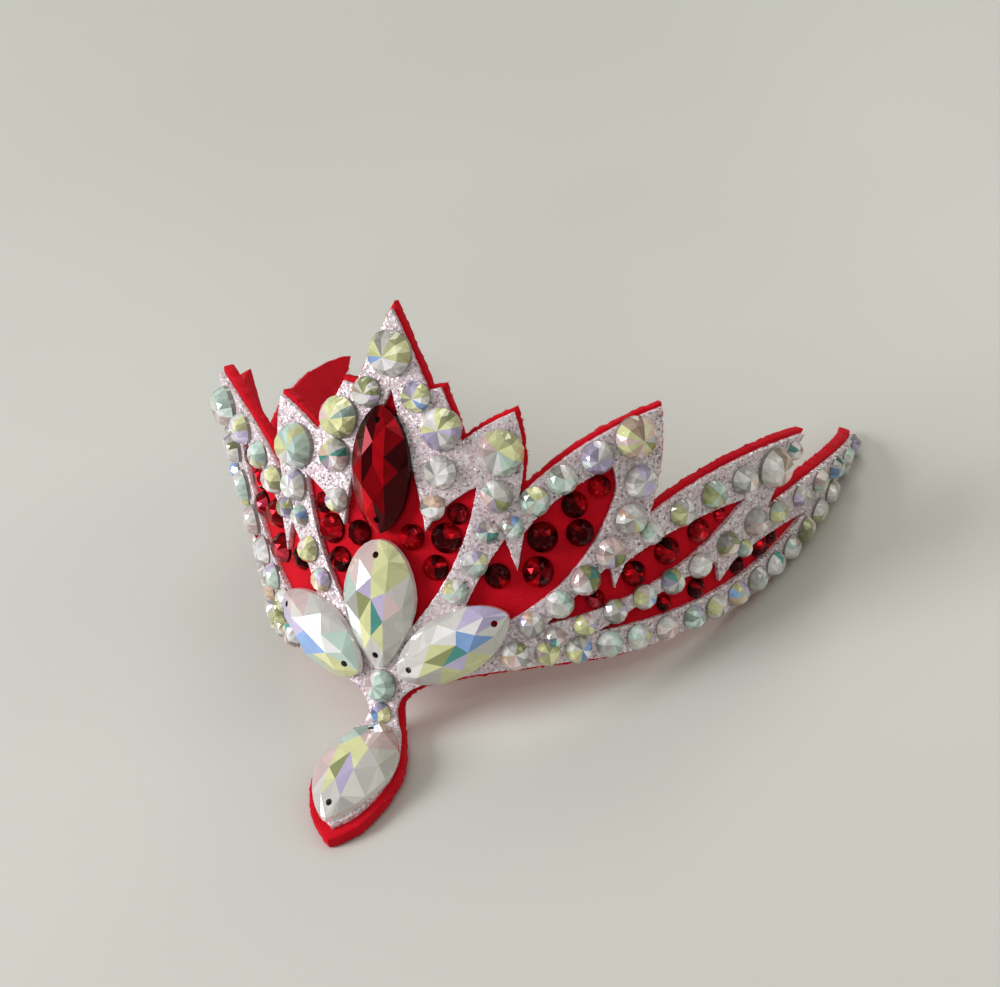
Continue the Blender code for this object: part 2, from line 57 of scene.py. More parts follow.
TINY = 1e-9                   # keeps a division by a length or width from failing
# The stones' corner colours: coating tints with painted reflections, highlights and shade.
TINT_LAYER = "facet_tint"     # the corner colours of the stones
TIP_REACH = 1.9               # how far a grown tip goes out, over the thinnest rim
TIP_MORE = 0.95               # how much further it goes for each millimetre of wider rim
RIM_KEPT = 0.95               # share of its rim that a grown point has to keep
Loop = list[np.ndarray]
Spot = tuple[float, float, float]    # a stone's s, h and size in millimetres
Seat = Callable[[float, float, float], Vector]


def linear_colour(code: str) -> tuple[float, float, float, float]:
    """Turn an sRGB hex colour into linear light.

    Args:
        code: colour as "#RRGGBB".

    Returns:
        Red, green, blue and alpha for a shader socket.
    """
    parts = [int(code[k:k + 2], 16) / 255.0 for k in (1, 3, 5)]
    light = [c / 12.92 if c <= 0.04045 else ((c + 0.055) / 1.055) ** 2.4 for c in parts]
    return (light[0], light[1], light[2], 1.0)


def wire(tree: bpy.types.NodeTree, node: bpy.types.Node, inputs: dict) -> None:
    """Give a node's sockets their values and links.

    Args:
        tree: node tree that holds the node.
        node: the node.
        inputs: socket name or number to a value, or to an output socket that is linked in.
    """
    for name, value in inputs.items():
        if isinstance(value, bpy.types.NodeSocket):
            tree.links.new(value, node.inputs[name])
        else:
            node.inputs[name].default_value = value


def add_node(tree: bpy.types.NodeTree, kind: str, settings: dict | None = None,
             inputs: dict | None = None, stops: Sequence[tuple[float, str]] = (),
             hard: bool = False) -> bpy.types.Node:
    """Add a shader node with its settings, socket values and links.

    Args:
        tree: node tree that gets the node.
        kind: node type, such as "ShaderNodeTexNoise".
        settings: attributes of the node.
        inputs: what `wire` gives its sockets.
        stops: on a colour ramp, the place from 0 to 1 and the hex colour of each stop.
        hard: True for hard steps between a ramp's colours.

    Returns:
        The new node.
    """
    node = tree.nodes.new(kind)
    for name, value in (settings or {}).items():
        setattr(node, name, value)
    if stops:
        node.color_ramp.interpolation = "CONSTANT" if hard else "LINEAR"
        while len(node.color_ramp.elements) < len(stops):
            node.color_ramp.elements.new(0.5)
        for element, (place, code) in zip(node.color_ramp.elements, stops):
            element.position = place
            element.color = linear_colour(code)
    wire(tree, node, inputs or {})
    return node


def new_material(name: str) -> tuple[bpy.types.Material, bpy.types.NodeTree, bpy.types.Node,
                                     bpy.types.NodeSocket]:
    """Make a material with an empty Principled shader.

    Args:
        name: name of the real material.

    Returns:
        The material, its node tree, its Principled node and the object coordinates in metres.
    """
    material = bpy.data.materials.new(name)
    material.use_nodes = True
    tree = material.node_tree
    where = add_node(tree, "ShaderNodeTexCoord").outputs["Object"]
    return material, tree, tree.nodes["Principled BSDF"], where


@dataclass(frozen=True)
class FeltFinish:
    """Needle-punched polyester felt, cut with scissors: matt, fibrous, with a bright raw edge."""

    colour: str = "#D8061F"
    shade: str = "#B00314"
    light: str = "#E6182F"
    fibre_mm: float = 0.16
    fibres_to_a_clump: float = 3.0
    mottle_mm: float = 5.0
    nap_mm: float = 0.12

    def make(self, name: str) -> bpy.types.Material:
        """Build the felt: short fibres as bump, faint mottling and a soft sheen.

        Args:
            name: name of the material.

        Returns:
            The material.
        """
        material, tree, shader, where = new_material(name)
        # Single fibres are too fine to show, so clumps of three are drawn.  They run every way,
        # and a twisted noise reads as matted fibres.
        fibres = add_node(tree, "ShaderNodeTexNoise", inputs={
            "Vector": where, "Scale": 1.0 / (self.fibre_mm * self.fibres_to_a_clump * MM),
            "Detail": 6.0, "Roughness": 0.72, "Distortion": 2.4}).outputs["Fac"]
        mottle = add_node(tree, "ShaderNodeTexNoise", inputs={
            "Vector": where, "Scale": 1.0 / (self.mottle_mm * MM), "Detail": 3.0}).outputs["Fac"]
        fine = add_node(tree, "ShaderNodeValToRGB", inputs={"Fac": fibres}, stops=(
            (0.28, self.shade), (0.50, self.colour), (0.78, self.light)))
        broad = add_node(tree, "ShaderNodeValToRGB", inputs={"Fac": mottle}, stops=(
            (0.30, "#D8D8D8"), (0.70, "#FFFFFF")))
        tint = add_node(tree, "ShaderNodeMix", {"data_type": "RGBA", "blend_type": "MULTIPLY"}, {
            "Factor": 0.6, "A": fine.outputs["Color"], "B": broad.outputs["Color"]})
        bump = add_node(tree, "ShaderNodeBump", inputs={
            "Height": fibres, "Strength": 0.55, "Distance": self.nap_mm * MM})
        wire(tree, shader, {
            "Base Color": tint.outputs["Result"], "Normal": bump.outputs["Normal"],
            "Roughness": 0.94, "Specular IOR Level": 0.18, "Sheen Weight": 0.35,
            "Sheen Roughness": 0.5, "Sheen Tint": linear_colour("#FF4A58")})
        return material


@dataclass(frozen=True)
class FibreFinish:
    """Loose polyester fibres that stand out of the felt, brighter than the felt itself."""

    colour: str = "#E0152E"
    shade: str = "#B00A1C"
    change_mm: float = 1.0 / 0.9

    def make(self, name: str) -> bpy.types.Material:
        """Build the fibre: a little brighter than the felt, because light gets through it.

        Args:
            name: name of the material.

        Returns:
            The material.
        """
        material, tree, shader, where = new_material(name)
        noise = add_node(tree, "ShaderNodeTexNoise", inputs={
            "Vector": where, "Scale": 1.0 / (self.change_mm * MM)})
        colour = add_node(tree, "ShaderNodeValToRGB", inputs={"Fac": noise.outputs["Fac"]},
                          stops=((0.3, self.shade), (0.7, self.colour)))
        wire(tree, shader, {"Base Color": colour.outputs["Color"], "Roughness": 0.7,
                            "Sheen Weight": 0.4})
        return material


@dataclass(frozen=True)
class GlitterFinish:
    """Polyester glitter bonded to a soft sheet: coarse flakes that lie at every angle."""

    flake_mm: float = 0.34
    flake_thick_mm: float = 0.05
    tilt: float = 0.55

    def make(self, name: str) -> bpy.types.Material:
        """Build the glitter: each cell is one flake with its own tilt and brightness, partly
        painted shade and painted reflection.

        Args:
            name: name of the material.

        Returns:
            The material.
        """
        material, tree, shader, where = new_material(name)
        flakes = add_node(tree, "ShaderNodeTexVoronoi", {"feature": "F1"}, {
            "Vector": where, "Scale": 1.0 / (self.flake_mm * MM)})
        # Flakes are silver film: mostly pale, some blush as a painted reflection of the red felt,
        # and a few dark as painted shade for flakes that face away from the light.
        parts = add_node(tree, "ShaderNodeSeparateColor", inputs={"Color": flakes.outputs["Color"]})
        colour = add_node(tree, "ShaderNodeValToRGB", inputs={"Fac": parts.outputs["Red"]}, stops=(
            (0.0, "#94848A"), (0.05, "#C4B0B6"), (0.24, "#E0D0D4"), (0.48, "#EEE3E5"),
            (0.68, "#E3C8CE"), (0.84, "#FBF8F8"), (0.95, "#CFD6DE")), hard=True)
        # A flake's random colour, less its middle value, tilts its normal.
        centred = add_node(tree, "ShaderNodeVectorMath", {"operation": "SUBTRACT"}, {
            0: flakes.outputs["Color"], 1: (0.5, 0.5, 0.5)})
        tilted = add_node(tree, "ShaderNodeVectorMath", {"operation": "SCALE"}, {
            0: centred.outputs["Vector"], "Scale": self.tilt})
        facing = add_node(tree, "ShaderNodeNewGeometry").outputs["Normal"]
        summed = add_node(tree, "ShaderNodeVectorMath", {"operation": "ADD"}, {
            0: facing, 1: tilted.outputs["Vector"]})
        normal = add_node(tree, "ShaderNodeVectorMath", {"operation": "NORMALIZE"}, {
            0: summed.outputs["Vector"]})
        bump = add_node(tree, "ShaderNodeBump", inputs={
            "Height": flakes.outputs["Distance"], "Strength": 0.35,
            "Distance": self.flake_thick_mm * MM, "Normal": normal.outputs["Vector"]})
        rough = add_node(tree, "ShaderNodeMapRange", inputs={
            "Value": parts.outputs["Green"], "To Min": 0.16, "To Max": 0.5})
        wire(tree, shader, {
            "Base Color": colour.outputs["Color"], "Normal": bump.outputs["Normal"],
            "Roughness": rough.outputs["Result"], "Metallic": 0.22})
        return material


@dataclass(frozen=True)
class CrystalFinish:
    """Cut lead-free glass with a foiled back: each facet is painted with the tint that it throws
    back, a painted reflection.
    """

    metallic: float = 0.12
    roughness: float = 0.08
    # Painted glints: the size of their cells, and how much they lighten and darken the facet
    # colour.
    painted_glint_mm: float = 1.1
    painted_glint: float = 0.16
    coat: float = 1.0
    gloss: float = 0.5

    def make(self, name: str) -> bpy.types.Material:
        """Build the crystal: facet tint, painted glints that stand for light from the foil, and a
        hard polished skin.

        Args:
            name: name of the material.

        Returns:
            The material.
        """
        material, tree, shader, where = new_material(name)
        tint = add_node(tree, "ShaderNodeVertexColor", {"layer_name": TINT_LAYER})
        # Painted glints: cells from grey to white, multiplied into the facet colour, stand for
        # sparkle from the foil inside the stone.
        glint = add_node(tree, "ShaderNodeTexVoronoi", {"feature": "F1"}, {
            "Vector": where, "Scale": 1.0 / (self.painted_glint_mm * MM), "Randomness": 1.0})
        parts = add_node(tree, "ShaderNodeSeparateColor", inputs={"Color": glint.outputs["Color"]})
        light = add_node(tree, "ShaderNodeValToRGB", inputs={"Fac": parts.outputs["Red"]}, stops=(
            (0.0, "#5E5E5E"), (0.28, "#9C9C9C"), (0.55, "#D6D6D6"), (0.80, "#FFFFFF")), hard=True)
        mixed = add_node(tree, "ShaderNodeMix", {"data_type": "RGBA", "blend_type": "MULTIPLY"}, {
            "Factor": self.painted_glint, "A": tint.outputs["Color"], "B": light.outputs["Color"]})
        wire(tree, shader, {
            "Base Color": mixed.outputs["Result"], "Metallic": self.metallic,
            "Roughness": self.roughness, "IOR": 1.54, "Specular IOR Level": self.gloss,
            "Coat Weight": self.coat, "Coat Roughness": 0.02})
        return material


@dataclass(frozen=True)
class TableFinish:
    """Painted table top, satin: pale, faintly glossy, with a very soft unevenness."""

    colour: str = "#CFD0C8"
    shade: str = "#CACBC3"
    change_mm: float = 1000.0 / 9.0

    def make(self, name: str) -> bpy.types.Material:
        """Build the table top.

        Args:
            name: name of the material.

        Returns:
            The material.
        """
        material, tree, shader, where = new_material(name)
        noise = add_node(tree, "ShaderNodeTexNoise", inputs={
            "Vector": where, "Scale": 1.0 / (self.change_mm * MM)})
        colour = add_node(tree, "ShaderNodeValToRGB", inputs={"Fac": noise.outputs["Fac"]},
                          stops=((0.3, self.shade), (0.7, self.colour)))
        wire(tree, shader, {"Base Color": colour.outputs["Color"], "Roughness": 0.32,
                            "Specular IOR Level": 0.35})
        return material


class Slot(Enum):
    """Names of the kinds of material."""

    FELT = "red_felt"
    GLITTER = "silver_glitter_sheet"
    CLEAR = "clear_coated_crystal"
    RED = "deep_red_crystal"


class Tint(Enum):
    """Colours painted on the facets and walls: the coating's own tints with painted reflections and
    highlights, the reds as painted light and shade, and painted shade on the walls.
    """

    # Clear stones: the coating's own tints, also used as painted reflections, white as painted
    # highlight and smoke as painted dark reflection.
    WHITE = "#FCFCFA"
    PEARL = "#E6E4DD"
    SMOKE = "#A8A69B"
    MINT = "#D0EADC"
    LEMON = "#EAECAE"
    OLIVE = "#99A06A"
    LILAC = "#CDC2E4"
    SKY = "#8DB4EA"
    TEAL = "#4C998E"
    BLUSH = "#ECD2CE"
    PEACH = "#E9CBB0"
    # Red glass as lit and shaded copies of one red: painted light and shade.
    GARNET = "#4E0007"
    RUBY = "#A80012"
    SCARLET = "#E0081E"
    ROSE = "#EC4458"
    # Wall colours: the foil's grey, and its dark red behind red glass, each also painted shade for
    # the dark gap round a stone's foot.
    FOIL_AND_SHADE = "#8B8880"
    # Painted shade inside the thread holes.
    PAINTED_HOLE_SHADE = "#77716E"
    RED_FOIL_AND_SHADE = "#2A0205"


# Weighted palettes of the facets' colours: coating tints with painted reflections for the clear
# stones, lit and shaded reds for the red ones.
CLEAR_TINTS = ((Tint.PEARL, 7), (Tint.MINT, 5), (Tint.LEMON, 5), (Tint.WHITE, 4),
               (Tint.LILAC, 3), (Tint.BLUSH, 3), (Tint.SMOKE, 2), (Tint.OLIVE, 1),
               (Tint.PEACH, 1), (Tint.SKY, 1), (Tint.TEAL, 1))
RED_TINTS = ((Tint.RUBY, 7), (Tint.GARNET, 5), (Tint.SCARLET, 4), (Tint.ROSE, 1))


class Form(Enum):
    """Outline of a stone."""

    ROUND = "round"
    NAVETTE = "navette"
    DROP = "drop"


def add_object(name: str, data: bpy.types.ID) -> bpy.types.Object:
    """Put an object into the scene.

    Args:
        name: its name.
        data: its mesh, curve, light or camera.

    Returns:
        The object.
    """
    made = bpy.data.objects.new(name, data)
    bpy.context.scene.collection.objects.link(made)
    return made


def unit(rows: np.ndarray) -> np.ndarray:
    """Rows scaled to a length of one."""
    return rows / np.maximum(np.linalg.norm(rows, axis=1), TINY)[:, None]


@dataclass(frozen=True)
class BunForm:
    """The shape that the flat sheets are bent to: a flared band and the bent pendant.

    The right half is a cone.  The left half is bent tighter and ruled between two lines.  Lengths
    are in millimetres and match the CAD part.
    """

    radius: float = 47.5
    flare: float = math.radians(12.2)
    lean_back: float = math.radians(42.52)
    bend: float = math.radians(57.0)
    bend_top: float = -15.4
    bend_length: float = 3.6
    left_high: float = 40.0
    left_low_line: tuple[float, float, float] = (32.3, 0.943, 0.00045)    # radius, rate, lift
    left_high_line: tuple[float, float, float] = (53.9, 1.169, 0.0007)
    spire_shift: float = 2.4
    spire_rise: tuple[float, float] = (25.0, 13.0)               # h from, height to full size
    spire_reach: tuple[float, float, float] = (-7.0, 7.0, 14.0)    # s of most, left, right
    tip_shift: tuple[float, float, float] = (1.4, -31.0, -41.6)    # size, h from, h of the tip
    shift: tuple[float, float, float] = (-1.522, -25.434, 18.064)
    slope_step: float = 0.05                                     # for the wall's slopes
    seat_step: float = 0.2                                       # for a stone's seat

    def cut_by_eye(self, s: np.ndarray, h: np.ndarray) -> np.ndarray:
        """Move s near the spire and the pendant's tip, which were cut a little to the right.

        Args:
            s: places round the band.
            h: places up it.

        Returns:
            The moved s.
        """
        size, start, tip = self.tip_shift
        s = s + size * np.clip((start - h) / (start - tip), 0.0, 1.0)
        far = s - self.spire_reach[0]
        reach = np.where(far < 0.0, self.spire_reach[1], self.spire_reach[2])
        rise = np.clip((h - self.spire_rise[0]) / self.spire_rise[1], 0.0, 1.0)
        share = np.clip(np.abs(far) / reach, 0.0, 1.0)
        return s + self.spire_shift * rise * np.cos(0.5 * math.pi * share) ** 2

    def wall(self, s: np.ndarray, h: np.ndarray) -> np.ndarray:
        """Points of the band's outer face, as if it went straight on down at the pendant.

        Args:
            s: places round the band.
            h: places up it.

        Returns:
            Rows of x, y and z, with the crown upright.
        """
        sine, cosine = math.sin(self.flare), math.cos(self.flare)
        reach = self.radius + h * sine
        angle = s / self.radius
        right = np.stack((reach * np.sin(angle), self.radius - reach * np.cos(angle),
                          h * cosine), 1)
        lines = []
        for radius, rate, lift in (self.left_low_line, self.left_high_line):
            turn = s * rate / radius
            lines.append(np.stack((radius * np.sin(turn), radius * (1.0 - np.cos(turn)),
                                   lift * s * s), 1))
        corner = np.array((0.0, -self.left_high * sine, self.left_high * cosine))
        left = lines[0] + (lines[1] + corner - lines[0]) * (h / self.left_high)[:, None]
        return np.where((s >= 0.0)[:, None], right, left)

    def pendant_run(self, below: np.ndarray) -> tuple[np.ndarray, np.ndarray, np.ndarray]:
        """The centre line below the bend's top: a turn that grows evenly, then a straight run.

        Args:
            below: lengths of sheet below the bend's top.

        Returns:
            How far forward and down each point lies, and how far the sheet has turned there.
        """
        curved = np.minimum(below, self.bend_length)
        turn = self.bend * curved / self.bend_length
        rate = self.bend / self.bend_length
        straight = below - curved
        forward = (math.cos(self.flare) - np.cos(turn - self.flare)) / rate
        down = (np.sin(turn - self.flare) + math.sin(self.flare)) / rate
        forward += straight * math.sin(self.bend - self.flare)
        down += straight * math.cos(self.bend - self.flare)
        return forward, down, turn

    def place(self, points: np.ndarray) -> np.ndarray:
        """Bend flat points onto the crown.

        Args:
            points: rows of s, h and n in millimetres: round the band, up it and off it.

        Returns:
            Rows of x, y and z in metres, in the row frame.
        """
        s, h, n = np.asarray(points, float).T
        s = self.cut_by_eye(s, h)
        held = np.maximum(h, self.bend_top)
        face = self.wall(s, held)
        step = self.slope_step
        across = self.wall(s + step, held) - self.wall(s - step, held)
        out = unit(np.cross(across, self.wall(s, held + step) - self.wall(s, held - step)))
        # The pendant is flat: the wall's curve fades out over the bend.
        below = np.maximum(self.bend_top - h, 0.0)
        flat = np.minimum(below / self.bend_length, 1.0)
        forward, down, turn = self.pendant_run(below)
        front = self.wall(np.zeros_like(s), held)
        front[:, 0] = s * (self.radius + self.bend_top * math.sin(self.flare)) / self.radius
        point = face + (front - face) * flat[:, None]
        point[:, 1] -= forward
        point[:, 2] -= down
        lean = self.flare - turn
        angle = np.arctan2(out[:, 0], -out[:, 1]) * (1.0 - flat)
        bent = np.stack((np.cos(lean) * np.sin(angle), -np.cos(lean) * np.cos(angle),
                         -np.sin(lean)), 1)
        point += n[:, None] * np.where((below > 0.0)[:, None], bent, out)
        x, y, z = point.T
        back, up = math.cos(self.lean_back), math.sin(self.lean_back)
        world = np.stack((x, y * back + z * up, z * back - y * up), axis=1)
        return (world + np.array(self.shift)) * MM

    def axes(self, s: float, h: float, n: float) -> tuple[np.ndarray, np.ndarray]:
        """Seat of a stone.

        Args:
            s: way round the band in millimetres.
            h: way up it.
            n: height off the felt's face.

        Returns:
            The seat's origin in metres, and its right, up and outward directions.
        """
        step = self.seat_step
        here, left, right, above = self.place(
            np.array(((s, h, n), (s - step, h, n), (s + step, h, n), (s, h, n + 1.0))))
        along, out = unit(np.array((right - left, above - here)))
        return here, np.stack((along, np.cross(out, along), out))


@dataclass(frozen=True)
class Corner:
    """A corner of an outline, and how the edge that leaves it swells."""

    s: float
    h: float
    swell: float = 0.0


def edge_points(start: Sequence[float], end: Sequence[float], swell: float,
                pitch: float) -> Loop:
    """Points along a swelling edge, the end left out.

    Args:
        start: first corner, s and h.
        end: last corner.
        swell: bow of the middle to the left of travel, in millimetres.
        pitch: wanted spacing.

    Returns:
        The points.
    """
    first, last = np.array(start, float), np.array(end, float)
    run = last - first
    length = float(np.linalg.norm(run))
    left = np.array((-run[1], run[0])) / length
    count = max(1, round(length / pitch))
    shares = [k / count for k in range(count)]
    return [first + run * u + left * swell * 4.0 * u * (1.0 - u) for u in shares]


def smooth_through(points: Sequence[Sequence[float]], pitch: float) -> Loop:
    """Smooth curve through points, the last point left out.

    Args:
        points: points that it passes through.
        pitch: wanted spacing in millimetres.

    Returns:
        The curve's points.
    """
    knots = [np.array(p, float) for p in points]
    made: Loop = []
    for index in range(len(knots) - 1):
        before = knots[max(0, index - 1)]
        here, there = knots[index], knots[index + 1]
        after = knots[min(len(knots) - 1, index + 2)]
        count = max(1, round(float(np.linalg.norm(there - here)) / pitch))
        for k in range(count):
            u = k / count
            made.append(0.5 * (2.0 * here + (there - before) * u
                               + (2.0 * before - 5.0 * here + 4.0 * there - after) * u * u
                               + (3.0 * here - before - 3.0 * there + after) * u ** 3))
    return made


def corner_edges(corners: Sequence[Corner], pitch: float) -> Loop:
    """Points along the swelling edges between corners, the last corner left out.

    Args:
        corners: the corners, in order.
        pitch: wanted spacing in millimetres.

    Returns:
        The points.
    """
    made: Loop = []
    for here, there in zip(corners[:-1], corners[1:]):
        made += edge_points((here.s, here.h), (there.s, there.h), here.swell, pitch)
    return made


def mirrored(points: Loop) -> Loop:
    """The same points on the other side of the centre line, in reverse order."""
    return [np.array((-p[0], p[1])) for p in reversed(points)]


def loop_distance(spots: np.ndarray, loop: Loop) -> np.ndarray:
    """Shortest distance of each spot from a closed loop.

    Args:
        spots: rows of s and h.
        loop: the loop's points.

    Returns:
        A distance for each spot.
    """
    line = np.array(loop)
    best = np.full(len(spots), np.inf)
    for here, there in zip(line, np.roll(line, -1, axis=0)):
        run = there - here
        share = np.clip((spots - here) @ run / max(float(run @ run), TINY), 0.0, 1.0)
        best = np.minimum(best, np.linalg.norm(spots - here - share[:, None] * run, axis=1))
    return best


def inside_loop(spots: np.ndarray, loop: Loop) -> np.ndarray:
    """Find the spots inside a closed loop.

    Args:
        spots: rows of s and h.
        loop: the loop's points.

    Returns:
        True for each spot inside.
    """
    line = np.array(loop)
    inside = np.zeros(len(spots), bool)
    for (x0, y0), (x1, y1) in zip(line, np.roll(line, -1, axis=0)):
        crosses = (y0 > spots[:, 1]) != (y1 > spots[:, 1])
        height = (y1 - y0) if abs(y1 - y0) > TINY else TINY
        inside ^= crosses & (spots[:, 0] < (x1 - x0) * (spots[:, 1] - y0) / height + x0)
    return inside


def grown(loop: Loop, rim_at: Callable[[np.ndarray], np.ndarray]) -> Loop:
    """A clockwise loop grown outward, with crisp tips and open valleys.

    Args:
        loop: closed loop.
        rim_at: distance to grow for each row of points, in millimetres.

    Returns:
        The larger loop.
    """
    line = np.array(loop)
    before = line - np.roll(line, 1, axis=0)
    after = np.roll(line, -1, axis=0) - line
    joint = (unit(np.stack((-before[:, 1], before[:, 0]), 1))
             + unit(np.stack((-after[:, 1], after[:, 0]), 1)))
    width = np.maximum(np.linalg.norm(joint, axis=1), TINY)
    rim = rim_at(line)
    # A tip is crisp where the rim is thin, and blunt where it is wide.
    thin = rim.min()
    reach = np.minimum(2.0 * rim / width, TIP_REACH * thin + TIP_MORE * (rim - thin))
    out = line + joint / width[:, None] * reach[:, None]
    # In a valley the grown points cross over and come too near the loop: they go.
    keep = loop_distance(out, loop) > RIM_KEPT * rim_at(out)
    return [p for p, kept in zip(out, keep) if kept]


@dataclass
class CrownPattern:
    """The flat pattern of the crown in millimetres: outlines, cut-outs and stone rows."""

    pitch: float = 0.6
    rim: float = 0.55
    tip_rim: float = 1.9
    rim_widens: float = -20.0
    neck_stone: Spot = (0.0, -15.0, 3.6)
    most_wider: float = 1.13      # how much wider than in the part a row stone may be
    neighbour: float = 0.53       # a neighbour's reach over its width
    search_step: float = 0.3      # a red stone looks for room in steps of this size
    search_moves: int = 4         # and in so many of them each way
    near: float = 9.0             # distance within which a stone can be in its way
    edge_room: float = 0.10       # clear felt between a red stone and its field's edge
    overlap: float = 0.46         # reach of a stone in the way, over its width
    red_apart: float = 1.09       # a red one counts as this much wider, so that none overlap
    step_cost: float = 0.02       # room that each step has to win
    upper: tuple[Corner, ...] = (
        Corner(0.0, 52.6, 0.3),       # spire tip
        Corner(6.7, 39.6),            # notch beside the spire
        Corner(8.5, 40.2),            # shoulder tip
        Corner(11.8, 31.6, 0.3),      # first valley
        Corner(18.9, 37.2, 0.9),      # first leaf tip
        Corner(20.7, 23.4, 1.3),      # second valley
        Corner(39.2, 40.7, 0.8),      # second leaf tip
        Corner(40.5, 22.7, 1.9),      # third valley
        Corner(66.4, 40.0, -0.4),     # third leaf tip
        Corner(62.0, 26.0, 2.2),      # fourth valley
        Corner(94.6, 42.9),           # wing tip
    )
    lower: tuple[tuple[float, float], ...] = (
        (94.6, 42.9), (86.5, 34.2), (77.0, 23.8), (69.0, 15.5), (61.5, 9.4), (53.0, 5.0),
        (41.0, -0.6), (27.0, -4.3), (17.0, -6.8), (8.0, -9.4), (4.2, -11.6), (2.8, -14.2),
        (3.2, -16.8), (4.4, -18.8), (5.7, -22.0), (6.8, -25.5), (7.1, -29.5), (5.9, -34.0),
        (3.4, -38.6), (0.0, -41.6))
    centre_field: tuple[Corner, ...] = (
        Corner(0.0, 39.4, 0.8), Corner(7.0, 16.2, 0.7), Corner(14.4, 24.3, 2.0),
        Corner(5.6, 0.4, 0.2), Corner(0.0, -1.2))
    side_fields: tuple[tuple[Corner, ...], ...] = (
        (Corner(14.0, 4.6, 0.2), Corner(19.2, 16.2), Corner(21.6, 11.1), Corner(22.0, 17.6, 1.0),
         Corner(33.6, 30.0, 0.4), Corner(34.6, 24.6, 3.4), Corner(18.5, 1.0, 0.2)),
        (Corner(27.0, 2.7), Corner(35.7, 13.7), Corner(37.0, 10.0), Corner(38.0, 14.3, 1.2),
         Corner(57.0, 27.6, 3.8)),
        (Corner(35.6, 2.4, 0.5), Corner(54.2, 16.4), Corner(55.8, 13.1), Corner(58.0, 17.3, 0.9),
         Corner(74.0, 27.3, 3.4)))
    clear_rows: tuple[tuple, ...] = (
        # name, count, s0, h0, s1, h1, swell, size0, size1
        ("strip end", 1, 8.1, 20.3, 8.1, 20.3, 0.0, 3.9, 3.9),
        ("first leaf pair", 2, 16.5, 17.1, 20.2, 18.3, 0.0, 3.7, 3.7),
        ("first vein", 2, 14.9, 11.6, 12.3, 6.6, 0.0, 4.1, 3.8),
        ("second leaf rise", 2, 23.0, 22.9, 26.6, 27.0, 0.0, 4.5, 4.5),
        ("second vein", 3, 32.2, 10.8, 24.6, 2.4, 0.4, 4.6, 4.0),
        ("third leaf rise", 4, 41.4, 19.8, 55.4, 30.7, 0.6, 4.0, 4.6),
        ("third leaf tip", 1, 64.6, 36.9, 64.6, 36.9, 0.0, 3.4, 3.4),
        ("third vein", 6, 28.6, 0.7, 50.9, 15.4, -0.6, 3.6, 4.0),
        ("fourth valley knot", 2, 55.3, 19.6, 60.0, 23.9, 0.0, 4.5, 4.4),
        ("fourth valley spur", 1, 59.2, 19.2, 59.2, 19.2, 0.0, 3.2, 3.2),
        ("wing rise", 6, 64.6, 26.3, 91.0, 40.6, 0.9, 3.6, 3.8),
        ("hem", 7, 22.6, -3.0, 52.2, 6.6, -1.3, 4.4, 3.8),
        ("wing hem", 7, 56.3, 8.8, 78.0, 27.8, -1.2, 3.9, 4.0),
        ("wing end", 2, 81.8, 31.6, 86.8, 36.3, 0.0, 3.8, 3.6),
    )
    clear_singles: tuple[tuple, ...] = (
        # name, size, right s and h, left s and h (None where it is on the centre line)
        ("spire_round", 7.4, (0.0, 45.3), None),
        ("fan_round", 5.3, (0.0, -10.3), None),
        ("spire_side_round", 5.0, (4.9, 38.4), (-4.6, 38.6)),
        ("shoulder_round", 6.8, (8.9, 33.4), (-8.5, 34.2)),
        ("shoulder_lower_round", 5.4, (9.0, 26.3), (-8.5, 27.8)),
        ("first_leaf_round", 7.4, (17.5, 30.4), (-15.9, 29.0)),
        ("first_leaf_lower_round", 5.2, (17.5, 23.2), (-16.9, 22.3)),
        ("second_leaf_round", 6.9, (36.2, 35.3), (-36.8, 35.0)),
        ("second_leaf_rise_round", 5.3, (31.2, 31.3), (-31.2, 31.3)),
        ("second_leaf_side_round", 5.3, (38.0, 28.1), (-38.2, 28.1)),
        ("second_leaf_low_round", 5.2, (37.6, 21.7), (-37.6, 21.7)),
        ("second_leaf_root_round", 5.1, (35.4, 15.8), (-35.4, 15.8)),
        ("third_leaf_round", 6.6, (60.8, 33.5), (-60.8, 33.5)),
    )
    red_stones: tuple[Spot, ...] = (
        (4.6, 14.9, 4.4), (12.4, 20.4, 3.9), (10.5, 15.3, 5.2), (9.0, 10.2, 4.4),
        (18.3, 9.8, 4.3), (24.5, 17.0, 5.2), (24.8, 11.2, 5.2), (31.0, 18.4, 4.7),
        (28.4, 22.9, 4.5), (32.3, 26.4, 3.8), (34.4, 8.3, 3.8), (39.8, 12.0, 4.4),
        (45.0, 17.0, 4.6), (50.4, 21.0, 4.2), (54.4, 24.8, 3.0), (46.8, 7.9, 2.8),
        (52.0, 11.4, 3.5), (58.9, 14.9, 3.6), (63.4, 19.6, 3.8), (67.6, 22.9, 3.0))

    def overlay_loop(self) -> Loop:
        """The glitter sheet's outer edge, clockwise from the spire tip."""
        right = corner_edges(self.upper, self.pitch) + smooth_through(self.lower, self.pitch)
        return right + [np.array(self.lower[-1])] + mirrored(right[1:])

    def rim_at(self, spots: np.ndarray) -> np.ndarray:
        """Width of the felt's rim, which widens towards the pendant's tip.

        Args:
            spots: rows of s and h.

        Returns:
            The rim at each spot.
        """
        tip = self.lower[-1][1]
        share = np.clip((self.rim_widens - spots[:, 1]) / (self.rim_widens - tip), 0.0, 1.0)
        return self.rim + (self.tip_rim - self.rim) * share

    def felt_loop(self) -> Loop:
        """The felt's outer edge, a rim wider."""
        return grown(self.overlay_loop(), self.rim_at)

